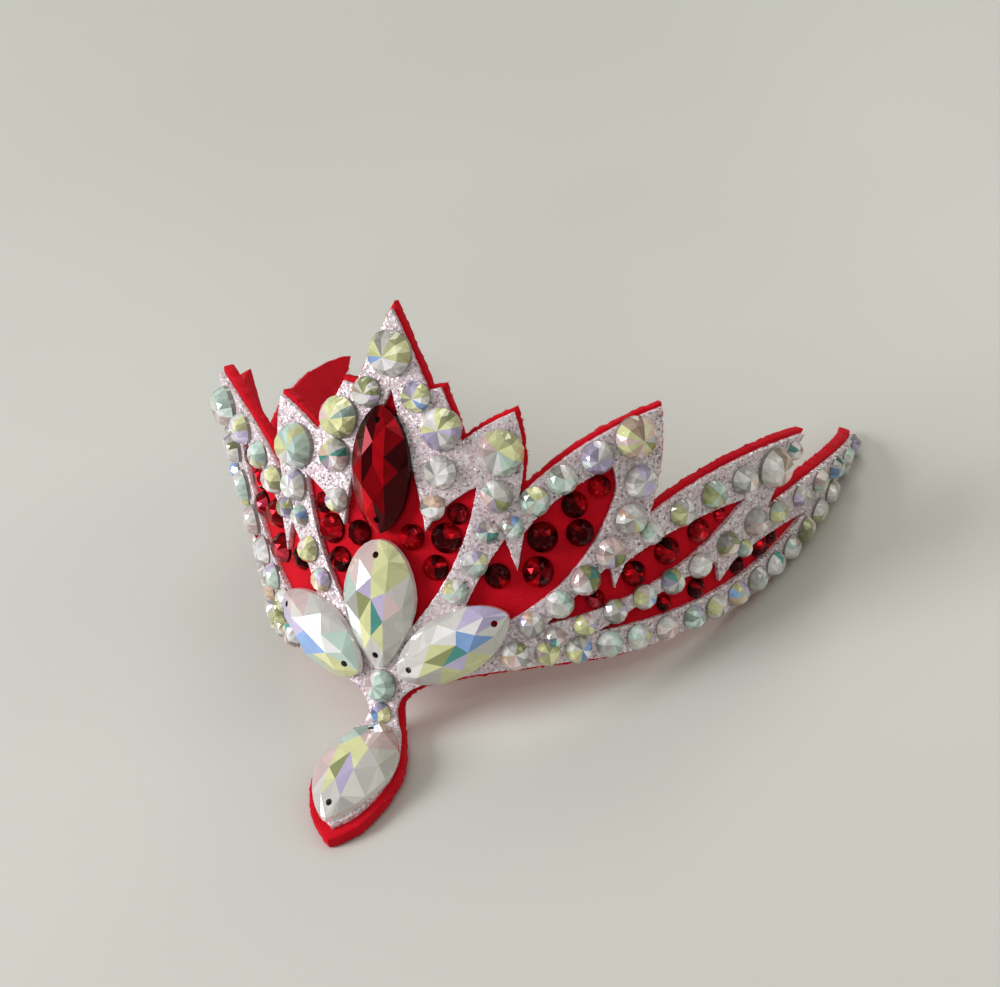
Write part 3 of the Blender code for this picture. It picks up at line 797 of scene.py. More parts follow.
    def field_loops(self) -> list[Loop]:
        """Edges of the cut-outs.

        Returns:
            The middle one, then the others, right and left in turn.
        """
        right = corner_edges(self.centre_field, self.pitch)
        foot = self.centre_field[-1]
        loops = [right + [np.array((foot.s, foot.h))] + mirrored(right[1:])]
        for corners in self.side_fields:
            loop = corner_edges(corners + corners[:1], self.pitch)
            loops += [loop, mirrored(loop)]
        return loops

    def single_spots(self) -> list[Spot]:
        """The larger stones, right then left; one on the centre line counts twice."""
        return [(*place, size) for _, size, right, left in self.clear_singles
                for place in (right, left or right)]

    def fitted(self, spots: list[Spot]) -> list[Spot]:
        """Widen the row stones as far as their neighbours leave room.

        Args:
            spots: the row stones.

        Returns:
            The same stones with their new sizes.
        """
        rows = np.array(spots + self.single_spots())
        made = []
        for index, (s, h, size) in enumerate(spots):
            room = np.hypot(rows[:, 0] - s, rows[:, 1] - h) - self.neighbour * rows[:, 2]
            room[index] = size
            made.append((s, h, min(self.most_wider * size, max(size, 2.0 * float(room.min())))))
        return made

    def clear_spots(self) -> list[Spot]:
        """Where the row stones go.

        Returns:
            The neck stone, then the others, right and left in turn.
        """
        spots = [self.neck_stone]
        for _, count, s0, h0, s1, h1, swell, size0, size1 in self.clear_rows:
            run = np.array((s1 - s0, h1 - h0))
            left = np.array((-run[1], run[0])) / max(float(np.linalg.norm(run)), TINY)
            for index in range(count):
                u = index / max(1, count - 1)
                spot = np.array((s0, h0)) + run * u + left * swell * 4.0 * u * (1.0 - u)
                size = size0 + (size1 - size0) * u
                spots += [(spot[0], spot[1], size), (-spot[0], spot[1], size)]
        return spots

    def red_spots(self) -> list[Spot]:
        """The red stones, moved to the roomiest place of their field as in the part.

        Returns:
            The stones, right and left in turn.
        """
        loops = self.field_loops()
        clear = self.clear_spots()
        for s, h, size in self.single_spots():
            clear += [(abs(s), h, size), (-abs(s), h, size)]
        step, moves = self.search_step, range(-self.search_moves, self.search_moves + 1)
        made: list[Spot] = []
        for s, h, size in self.red_stones:
            grid = np.array([(s + step * a, h + step * b) for a in moves for b in moves])
            room = np.min([loop_distance(grid, loop) for loop in loops], axis=0) - self.edge_room
            for cs, ch, csize in clear + [(*q[:2], q[2] * self.red_apart) for q in made]:
                if math.hypot(cs - s, ch - h) < self.near:
                    away = np.hypot(cs - grid[:, 0], ch - grid[:, 1])
                    room = np.minimum(room, away - self.overlap * csize)
            steps = np.abs(grid - np.array((s, h))).sum(axis=1) / step
            score = np.minimum(0.5 * size, room) - self.step_cost * steps
            best = int(np.argmax(score))
            here = (float(grid[best, 0]), float(grid[best, 1]), 2.0 * float(score[best]))
            made += [here, (-here[0], here[1], here[2])]
        return made


def put(name: str, work: bmesh.types.BMesh, material: bpy.types.Material,
        smooth_deg: float | None = None) -> bpy.types.Object:
    """Turn a worked mesh in metres into a piece that rides on the crown.

    Args:
        name: name of the piece.
        work: the mesh; it is freed.
        material: its material.
        smooth_deg: angle below which faces shade smoothly, or None for flat facets.

    Returns:
        The piece.
    """
    mesh = bpy.data.meshes.new(name)
    work.to_mesh(mesh)
    work.free()
    piece = add_object(name, mesh)
    mesh.materials.append(material)
    if smooth_deg is not None:
        mesh.polygons.foreach_set("use_smooth", [True] * len(mesh.polygons))
        mesh.set_sharp_from_angle(angle=math.radians(smooth_deg))
    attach(piece, "root")
    return piece


def many(rings: Sequence[np.ndarray], faces: Sequence[Sequence[int]]) -> bmesh.types.BMesh:
    """Mesh of many small things that are all made alike.

    Args:
        rings: rows of points in metres, a row for each thing; the first array holds every
            thing's first point, and so on.
        faces: the faces of one thing, as numbers of its points.

    Returns:
        The mesh.
    """
    size = len(rings)
    points = np.stack(rings, axis=1).reshape(-1, 3)
    starts = range(0, len(points), size)
    mesh = bpy.data.meshes.new("many")
    mesh.from_pydata(points.tolist(), [], [[start + k for k in face]
                                           for start in starts for face in faces])
    work = bmesh.new()
    work.from_mesh(mesh)
    bpy.data.meshes.remove(mesh)
    return work


@dataclass
class SheetCutter:
    """Cuts a closed sheet from loops and bends it round the bun."""

    form: BunForm
    strip: float = 1.5           # width of the strips that make the curve
    bend_strip: float = 0.4      # the same in the pendant's bend
    bend_strips: int = 10
    weld: float = 1e-3
    snap: float = 1e-4

    def cut(self, loops: Sequence[Loop], low: float, high: float,
            rounding: float) -> bmesh.types.BMesh:
        """Make the bent sheet.

        Args:
            loops: outer loop, then the cut-outs, in millimetres.
            low: height of its back off the felt's face.
            high: height of its front.
            rounding: radius of its worn edges.

        Returns:
            The mesh in metres.
        """
        work = self.flat(loops, high - low, rounding)
        bmesh.ops.translate(work, verts=work.verts, vec=(0.0, 0.0, 0.5 * (high + low)))
        half = int(max(abs(v.co.x) for v in work.verts) / self.strip) + 1
        lines = [(self.strip * (k + 0.5), 0.0) for k in range(-half, half)]
        lines += [(0.0, self.form.bend_top - self.bend_strip * k) for k in range(self.bend_strips)]
        for s_line, h_line in lines:
            bmesh.ops.bisect_plane(
                work, geom=work.verts[:] + work.edges[:] + work.faces[:], dist=self.snap,
                plane_co=(s_line, h_line, 0.0),
                plane_no=(1.0, 0.0, 0.0) if s_line else (0.0, 1.0, 0.0))
        flat = np.array([v.co for v in work.verts])
        for vert, spot in zip(work.verts, self.form.place(flat)):
            vert.co = spot
        bmesh.ops.recalc_face_normals(work, faces=work.faces)
        return work

    def flat(self, loops: Sequence[Loop], thick: float, rounding: float) -> bmesh.types.BMesh:
        """Make the flat sheet, half of it above and half below its plane.

        Args:
            loops: outer loop, then the cut-outs, in millimetres.
            thick: its thickness.
            rounding: radius of its worn edges.

        Returns:
            The mesh in millimetres.
        """
        curve = bpy.data.curves.new("flat_pattern", "CURVE")
        curve.dimensions = "2D"
        curve.fill_mode = "BOTH"
        curve.extrude = 0.5 * thick - rounding
        curve.bevel_depth = rounding
        curve.bevel_resolution = 1
        curve.offset = -rounding
        for loop in loops:
            spline = curve.splines.new("POLY")
            spline.points.add(len(loop) - 1)
            for dot, spot in zip(spline.points, loop):
                dot.co = (spot[0], spot[1], 0.0, 1.0)
            spline.use_cyclic_u = True
        drawn = add_object("flat_pattern", curve)
        graph = bpy.context.evaluated_depsgraph_get()
        mesh = bpy.data.meshes.new_from_object(drawn.evaluated_get(graph))
        bpy.data.objects.remove(drawn, do_unlink=True)
        work = bmesh.new()
        work.from_mesh(mesh)
        bpy.data.meshes.remove(mesh)
        bmesh.ops.remove_doubles(work, verts=work.verts, dist=self.weld)
        return work


@dataclass
class FeltBase:
    """The red felt band with its spire, leaves, neck and pendant."""

    form: BunForm
    pattern: CrownPattern
    thick: float = 1.8
    face: float = 0.22
    rounding: float = 0.3
    edge_wobble: float = 0.08
    edge_fibres: int = 7600
    face_fibres: int = 2600
    face_lean: float = 0.35      # how far a fibre of the open felt stands up
    front_share: float = 0.6     # share of them on the front
    fibre_width: float = 0.028
    fibre_taper: float = 0.8
    fibre_length: tuple[float, float] = (0.2, 0.68)
    fibre_bow: float = 0.12
    table_gap: float = 0.05      # clear air between the fibres and the table
    edge_margin: float = 0.05    # bare strip along both rims of the cut edge
    root_depth: float = 0.1
    edge_lean: float = 0.55
    seed: int = 11
    finish: FeltFinish = field(default_factory=FeltFinish)
    fuzz: FibreFinish = field(default_factory=FibreFinish)

    def build(self) -> list[bpy.types.Object]:
        """Cut and bend the felt, and add the fibres of its cut edge and its open faces.

        Returns:
            The felt and its fibres.
        """
        rng = np.random.default_rng(self.seed)
        loop = [p + rng.normal(0.0, self.edge_wobble, 2) for p in self.pattern.felt_loop()]
        work = SheetCutter(self.form).cut([loop], -self.thick, self.face, self.rounding)
        piece = put("felt_band", work, self.finish.make("needled_felt"), 50.0)
        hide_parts("crimson_felt_base")
        edge = self.edge_roots(np.array(loop), rng)
        open_felt = self.face_roots(loop, rng)
        start, way = (np.vstack(pair) for pair in zip(edge, open_felt))
        return [piece, self.fibres(start, unit(way), rng)]

    def declare(self) -> None:
        """Work out the felt's edge loop, and keep nothing.
        """
        loop = self.pattern.felt_loop()

    def edge_roots(self, line: np.ndarray,
                   rng: np.random.Generator) -> tuple[np.ndarray, np.ndarray]:
        """Where the cut edge's fibres start, and which way they go.

        Args:
            line: the edge's rows of s and h.
            rng: source of chance.

        Returns:
            Rows of s, h and n, and rows of directions.
        """
        count = self.edge_fibres
        ahead = np.roll(line, -1, axis=0) - line
        outward = unit(np.stack((-ahead[:, 1], ahead[:, 0]), 1))
        pick = rng.integers(0, len(line), count)
        low = rng.uniform(-self.thick + self.edge_margin, self.face - self.edge_margin, count)
        roots = np.column_stack((line[pick] - outward[pick] * self.root_depth, low))
        lean = rng.normal(0.0, self.edge_lean, (count, 3))
        return roots, np.column_stack((outward[pick], np.zeros(count))) + lean

    def face_roots(self, loop: Loop,
                   rng: np.random.Generator) -> tuple[np.ndarray, np.ndarray]:
        """Where the open felt's fibres start, and which way they go.

        Args:
            loop: the felt's edge.
            rng: source of chance.

        Returns:
            Rows of s, h and n, and rows of directions.
        """
        line = np.array(loop)
        cast = rng.uniform(line.min(axis=0), line.max(axis=0), (self.face_fibres * 4, 2))
        cast = cast[inside_loop(cast, loop)][:self.face_fibres]
        side = np.where(rng.random(len(cast)) < self.front_share, self.face, -self.thick)
        away = rng.normal(0.0, 1.0, (len(cast), 3))
        away[:, 2] = np.sign(side) * np.abs(away[:, 2]) * self.face_lean
        return np.column_stack((cast, side)), away

    def fibres(self, start: np.ndarray, way: np.ndarray,
               rng: np.random.Generator) -> bpy.types.Object:
        """Bowed, pointed fibres with three sides.

        Args:
            start: rows of s, h and n where they start.
            way: rows of unit directions.
            rng: source of chance.

        Returns:
            The fibres as one piece.
        """
        length = rng.uniform(*self.fibre_length, len(start))
        bow = rng.normal(0.0, self.fibre_bow, start.shape)
        middle = start + way * (0.5 * length)[:, None] + bow
        end = start + way * length[:, None]
        root, waist, tip = (self.form.place(part) for part in (start, middle, end))
        for part in (root, waist, tip):
            part[:, 2] = np.maximum(part[:, 2], self.table_gap * MM)
        across = unit(np.cross(tip - root, rng.normal(0.0, 1.0, start.shape)))
        other = unit(np.cross(tip - root, across))
        rings = []
        for part, width in ((root, self.fibre_width), (waist, self.fibre_width * self.fibre_taper)):
            for turn in (0.0, 2.0 * math.pi / 3.0, 4.0 * math.pi / 3.0):
                rings.append(part + (across * math.cos(turn) + other * math.sin(turn))
                             * width * 0.5 * MM)
        faces = [face for k, after in ((0, 1), (1, 2), (2, 0))
                 for face in ((k, after, 3 + after, 3 + k), (3 + k, 3 + after, 6))]
        return put("felt_fibres", many([*rings, tip], faces), self.fuzz.make("felt_fibre"),
                   180.0)


@dataclass
class GlitterOverlay:
    """The silver glitter sheet, cut into veins round the red fields."""

    form: BunForm
    pattern: CrownPattern
    low: float = 0.24
    high: float = 1.3
    rounding: float = 0.12
    edge_wobble: float = 0.03
    flakes: int = 9000
    flake_size: tuple[float, float] = (0.16, 0.36)
    flake_lift: float = 0.02
    flake_tilt: float = 0.38
    seed: int = 23
    finish: GlitterFinish = field(default_factory=GlitterFinish)

    def build(self) -> list[bpy.types.Object]:
        """Cut and bend the sheet, and strew its loose flakes.

        Returns:
            The sheet and its flakes.
        """
        rng = np.random.default_rng(self.seed)
        loops = [self.pattern.overlay_loop()] + self.pattern.field_loops()
        cut = [[p + rng.normal(0.0, self.edge_wobble, 2) for p in loop] for loop in loops]
        work = SheetCutter(self.form).cut(cut, self.low, self.high, self.rounding)
        silver = self.finish.make("polyester_glitter_sheet")
        piece = put("glitter_sheet", work, silver, 50.0)
        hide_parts("glitter_overlay")
        return [piece, self.strew(loops, silver, rng)]

    def strew(self, loops: list[Loop], silver: bpy.types.Material,
              rng: np.random.Generator) -> bpy.types.Object:
        """Loose hexagonal flakes that stand up at all angles on the sheet's face.

        Args:
            loops: the sheet's outer loop and its cut-outs.
            silver: the flakes' material.
            rng: source of chance.

        Returns:
            The flakes as one piece.
        """
        line = np.array(loops[0])
        cast = rng.uniform(line.min(axis=0), line.max(axis=0), (self.flakes * 6, 2))
        keep = inside_loop(cast, loops[0])
        for loop in loops[1:]:
            keep &= ~inside_loop(cast, loop)
        cast = cast[keep][:self.flakes]
        level = np.full(len(cast), self.high + self.flake_lift)
        centre = self.form.place(np.column_stack((cast, level)))
        above = self.form.place(np.column_stack((cast, level + 1.0)))
        facing = unit(unit(above - centre) + rng.normal(0.0, self.flake_tilt, centre.shape))
        across = unit(np.cross(facing, rng.normal(0.0, 1.0, centre.shape)))
        other = np.cross(facing, across)
        size = rng.uniform(*self.flake_size, len(cast))[:, None] * 0.5 * MM
        corners = [centre + (across * math.cos(k * math.pi / 3.0)
                             + other * math.sin(k * math.pi / 3.0)) * size for k in range(6)]
        return put("glitter_flakes", many(corners, [range(6)]), silver)


@dataclass
class StoneCut:
    """A crown-cut stone with a table, star, kite and girdle facets and a foiled flat back.

    The table, the shoulder and its rise are shares of the stone's outline and height.
    """

    form: Form
    width: float
    length: float
    height: float
    sides: int = 8
    arc: int = 3                 # girdle edges to a side
    table: float = 0.46
    shoulder: float = 0.76
    shoulder_rise: float = 0.62
    girdle: float = 0.5
    skirt: float = 0.35          # how far the back goes below the seat, down to the sheet
    hub: tuple[float, float] = (0.06, 0.05)
    point: float = 1.25          # power that sharpens a navette's ends
    taper: tuple[float, float, float] = (0.15, 0.42, 1.4)    # a drop's: start, most and power

    def outline(self, share: float) -> tuple[float, float]:
        """Point of the stone's girdle.

        Args:
            share: way round it, from 0 to 1, from the top.

        Returns:
            x and y in millimetres.
        """
        turn = 2.0 * math.pi * share
        across, along = math.sin(turn), math.cos(turn)
        if self.form is Form.NAVETTE:
            across = math.copysign(abs(across) ** self.point, across)
        elif self.form is Form.DROP:
            start, most, power = self.taper
            across *= 1.0 - most * (max(0.0, start - along) / (1.0 + start)) ** power
        return 0.5 * self.width * across, 0.5 * self.length * along

    def ring(self, count: int, half: float, scale: float) -> list[tuple[float, float]]:
        """Ring of points at a scale of the outline.

        Args:
            count: number of points.
            half: turn of the ring, in steps.
            scale: scale of the outline.

        Returns:
            Rows of x and y in millimetres.
        """
        spots = [self.outline((k + half) / count) for k in range(count)]
        return [(x * scale, y * scale) for x, y in spots]

    def facets(self, work: bmesh.types.BMesh, seat: Seat,
               paint: Callable[[str, int], tuple]) -> None:
        """Add the stone to a mesh.

        Args:
            work: mesh that gets the stone; it has the layer of corner colours.
            seat: turns a point of the stone in millimetres into the row frame.
            paint: colour for a kind of facet and the wedge that it lies in.
        """
        layer = work.loops.layers.float_color[TINT_LAYER]
        n, arc = self.sides, self.arc

        def verts(spots: list[tuple[float, float]], z: float) -> list[bmesh.types.BMVert]:
            """Seat a ring of points at one height."""
            return [work.verts.new(seat(x, y, z)) for x, y in spots]

        back = verts(self.ring(arc * n, 0.0, 1.0), -self.skirt)
        edge = verts(self.ring(arc * n, 0.0, 1.0), self.girdle)
        rise = self.girdle + (self.height - self.girdle) * self.shoulder_rise
        mid = verts(self.ring(n, 0.5, self.shoulder), rise)
        top = verts(self.ring(n, 0.0, self.table), self.height)
        hub = work.verts.new(seat(self.hub[0] * self.width, self.hub[1] * self.length, self.height))

        def face(kind: str, wedge: int, corners: Sequence[bmesh.types.BMVert]) -> None:
            """Add and paint one facet.

            Args:
                kind: kind of facet.
                wedge: number of its wedge.
                corners: its corners.
            """
            made = work.faces.new(corners)
            colour = paint(kind, wedge)
            for corner in made.loops:
                corner[layer] = colour

        face("back", 0, list(reversed(back)))
        for k in range(arc * n):
            after = (k + 1) % (arc * n)
            face("wall", 0, (back[k], back[after], edge[after], edge[k]))
        for k in range(n):
            after = (k + 1) % n
            face("table", k, (top[k], top[after], hub))
            face("star", k, (top[k], mid[k], top[after]))
            face("kite", (k - 1) % n, (top[k], mid[k - 1], edge[arc * k]))
            face("kite", k, (top[k], edge[arc * k], mid[k]))
            for j in range(arc * k, arc * (k + 1)):
                face("rim", k, (mid[k], edge[j], edge[(j + 1) % (arc * n)]))


@dataclass
class StonePainter:
    """Chooses the tints of a stone's wedges from a weighted palette, the same on each run.

    Each wedge is painted with one reflected tint from the table to the girdle, as the foil behind
    throws it back, with a painted highlight or painted shade on some wedges.
    """

    seed: int
    palette: tuple[tuple[Tint, int], ...]
    sides: int
    # Wall colour: the foil's grey with painted shade round the stone's foot.
    wall: Tint = Tint.FOIL_AND_SHADE
    chosen: dict[str, tuple[Tint, ...]] = field(default_factory=dict)
    same_as_last: float = 0.45
    leaning: float = 0.5          # share of wedges in one of the stone's two main tints
    # Painted light and shade: each wedge's lightness is one of these, one wedge gets a painted
    # highlight, some stones one wedge of painted shade; each facet's painted light varies a little,
    # and facets nearer the girdle get more painted shade.
    lights: tuple[float, ...] = (0.66, 0.82, 0.95, 1.04, 1.15)
    flash: float = 1.5
    shade: float = 0.45
    shaded: float = 0.5           # share of stones with a dark wedge
    flicker: tuple[float, float] = (0.94, 1.06)
    painted_facet_shade: tuple[tuple[str, float], ...] = (
        ("table", 1.0), ("star", 0.96), ("kite", 0.9), ("rim", 0.8))

    def __post_init__(self) -> None:
        """Choose each wedge's tint and painted lightness, with one painted highlight wedge and at
        times one painted shade wedge.
        """
        rng = random.Random(self.seed)
        names = [tint for tint, _ in self.palette]
        weights = [weight for _, weight in self.palette]
        main_tints = rng.choices(names, weights, k=2)
        self.wedges: list[tuple[Tint, float]] = []
        for _ in range(self.sides):
            if self.wedges and rng.random() < self.same_as_last:
                tint = self.wedges[-1][0]
            elif rng.random() < self.leaning:
                tint = rng.choice(main_tints)
            else:
                tint = rng.choices(names, weights)[0]
            self.wedges.append((tint, rng.choice(self.lights)))
        bright = rng.randrange(self.sides)
        self.wedges[bright] = (self.wedges[bright][0], self.flash)
        if rng.random() < self.shaded:
            dark = (bright + 1 + rng.randrange(self.sides - 1)) % self.sides
            self.wedges[dark] = (self.wedges[dark][0], self.shade)
        self.rng = rng

    def paint(self, kind: str, wedge: int) -> tuple[float, float, float, float]:
        """Colour of one facet, with its painted reflection, light and shade.

        Args:
            kind: back, wall, table, star, kite or rim.
            wedge: number of the wedge that it lies in.

        Returns:
            Its linear colour.
        """
        if kind in ("back", "wall"):
            return linear_colour(self.wall.value)
        tint, light = self.wedges[wedge]
        ring = "kite" if kind == "rim" else kind
        if ring in self.chosen:
            tint, light = self.chosen[ring][wedge % len(self.chosen[ring])], 1.0
        # Painted shade: facets nearer the girdle are darker.
        light *= dict(self.painted_facet_shade)[kind]
        if kind != "rim":
            light *= self.rng.uniform(*self.flicker)
        red, green, blue, alpha = linear_colour(tint.value)
        return min(1.0, red * light), min(1.0, green * light), min(1.0, blue * light), alpha


@dataclass
class StoneSetter:
    """Seats stones on the bent sheets."""

    form: BunForm

    def seat(self, s: float, h: float, n: float, turn_deg: float,
             tip_deg: tuple[float, float] = (0.0, 0.0)) -> Seat:
        """Seat at (s, h).

        Args:
            s: way round the band in millimetres.
            h: way up it.
            n: height of the stone's back off the felt's face.
            turn_deg: turn about the stone's own axis.
            tip_deg: small tips about its two other axes, as glued by hand.

        Returns:
            Function from a point of the stone in millimetres to the row frame.
        """
        origin, axes = self.form.axes(s, h, n)
        turn = math.radians(turn_deg)
        tip_x, tip_y = (math.radians(a) for a in tip_deg)

        def place(x: float, y: float, z: float) -> Vector:
            """Turn, tip and move one point of the stone.

            Args:
                x: right of the stone's middle, in millimetres.
                y: above it.
                z: in front of its back.

            Returns:
                The point in metres, in the row frame.
            """
            u = x * math.cos(turn) - y * math.sin(turn)
            v = x * math.sin(turn) + y * math.cos(turn)
            w = z + u * math.sin(tip_x) + v * math.sin(tip_y)
            return Vector(origin + (axes[0] * u + axes[1] * v + axes[2] * w) * MM)

        return place

    @staticmethod
    def blank() -> bmesh.types.BMesh:
        """Start a mesh with the facet colour layer.

        Returns:
            The empty mesh.
        """
        work = bmesh.new()
        work.loops.layers.float_color.new(TINT_LAYER)
        return work


RED_GLASS = CrystalFinish(metallic=0.75, roughness=0.16, painted_glint=0.35, coat=0.14, gloss=0.1)


@dataclass
class RoundStones:
    """Every round flat-back: the clear rows, the larger clear stones and the red fields."""

    form: BunForm
    pattern: CrownPattern
    sheet_top: float = 1.3
    felt_top: float = 0.22
    single_lift: float = 0.25     # seat of a larger stone over the sheet
    clear_rise: float = 0.36      # height over width
    red_rise: float = 0.40
    swell: float = 1.06           # single stones are this much wider than in the part
    tip_deg: float = 3.0
    uneven: float = 0.09          # how far off its middle a table's facets meet
    seed: int = 5
    row_seed: int = 100           # the painters' seeds
    red_seed: int = 500
    single_seed: tuple[int, int, int] = (900, 31, 7)    # and what s and h add to it
    clear: CrystalFinish = field(default_factory=CrystalFinish)
    red: CrystalFinish = RED_GLASS

    def build(self) -> None:
        """Cut and set all round stones."""
        rng = random.Random(self.seed)
        coated = self.clear.make("foiled_crystal_coated")
        garnet = self.red.make("foiled_crystal_red")
        self.set_rows(coated, rng)
        self.set_reds(garnet, rng)
        self.set_singles(coated, rng)

    def set_rows(self, coated: bpy.types.Material, rng: random.Random) -> None:
        """Set the rows of clear stones, as one piece.

        Args:
            coated: the stones' material.
            rng: source of chance.
        """
        setter = StoneSetter(self.form)
        work = setter.blank()
        for index, (s, h, size) in enumerate(self.pattern.fitted(self.pattern.clear_spots())):
            cut = StoneCut(Form.ROUND, size, size, self.clear_rise * size, table=0.64,
                           shoulder=0.84, girdle=0.07 * size)
            painter = StonePainter(self.row_seed + index, CLEAR_TINTS, cut.sides)
            tips = (rng.uniform(-self.tip_deg, self.tip_deg),
                    rng.uniform(-self.tip_deg, self.tip_deg))
            seat = setter.seat(s, h, self.sheet_top, rng.uniform(0, 60), tips)
            cut.facets(work, seat, painter.paint)
        piece = put("clear_row_stones", work, coated)
        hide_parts("glitter_overlay")

    def set_reds(self, garnet: bpy.types.Material, rng: random.Random) -> None:
        """Set the red stones of the fields, as one piece.

        Args:
            garnet: the stones' material.
            rng: source of chance.
        """
        setter = StoneSetter(self.form)
        work = setter.blank()
        for index, (s, h, size) in enumerate(self.pattern.red_spots()):
            cut = StoneCut(Form.ROUND, size, size, self.red_rise * size, table=0.5,
                           girdle=0.08 * size)
            # Red tints are painted light and shade; the walls are red foil with painted shade.
            painter = StonePainter(self.red_seed + index, RED_TINTS, cut.sides, Tint.RED_FOIL_AND_SHADE)
            cut.facets(work, setter.seat(s, h, self.felt_top, rng.uniform(0, 60)), painter.paint)
        piece = put("red_field_stones", work, garnet)
        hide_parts("crimson_felt_base")

    def set_singles(self, coated: bpy.types.Material, rng: random.Random) -> None:
        """Set the larger clear stones, a piece each.

        Args:
            coated: the stones' material.
            rng: source of chance.
        """
        setter = StoneSetter(self.form)
        for name, size, right, left in self.pattern.clear_singles:
            sides = (("right_", right), ("left_", left)) if left else (("", right),)
            for prefix, (s, h) in sides:
                work = setter.blank()
                width = size * self.swell
                off = (rng.uniform(-self.uneven, self.uneven),
                       rng.uniform(-self.uneven, self.uneven))
                cut = StoneCut(Form.ROUND, width, width, self.clear_rise * size, sides=12,
                               table=0.68, shoulder=0.85, girdle=0.06 * size, hub=off)
                seed, per_s, per_h = self.single_seed
                painter = StonePainter(int(seed + per_s * s + per_h * h), CLEAR_TINTS, cut.sides)
                seat = setter.seat(s, h, self.sheet_top + self.single_lift, rng.uniform(0, 45))
                cut.facets(work, seat, painter.paint)
                piece = put(prefix + name + "_cut", work, coated)
                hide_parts(prefix + name)


@dataclass(frozen=True)
class SewOn:
    """One sew-on stone: its node, outline, place and the tints of its facets, which paint its
    reflections, highlights and shade.
    """

    node: str
    form: Form
    s: float
    h: float
    turn: float
    length: float
    width: float
    height: float
    table: tuple[Tint, ...]    # clockwise from the top, as for the star and the kites
    star: tuple[Tint, ...]
    kite: tuple[Tint, ...]


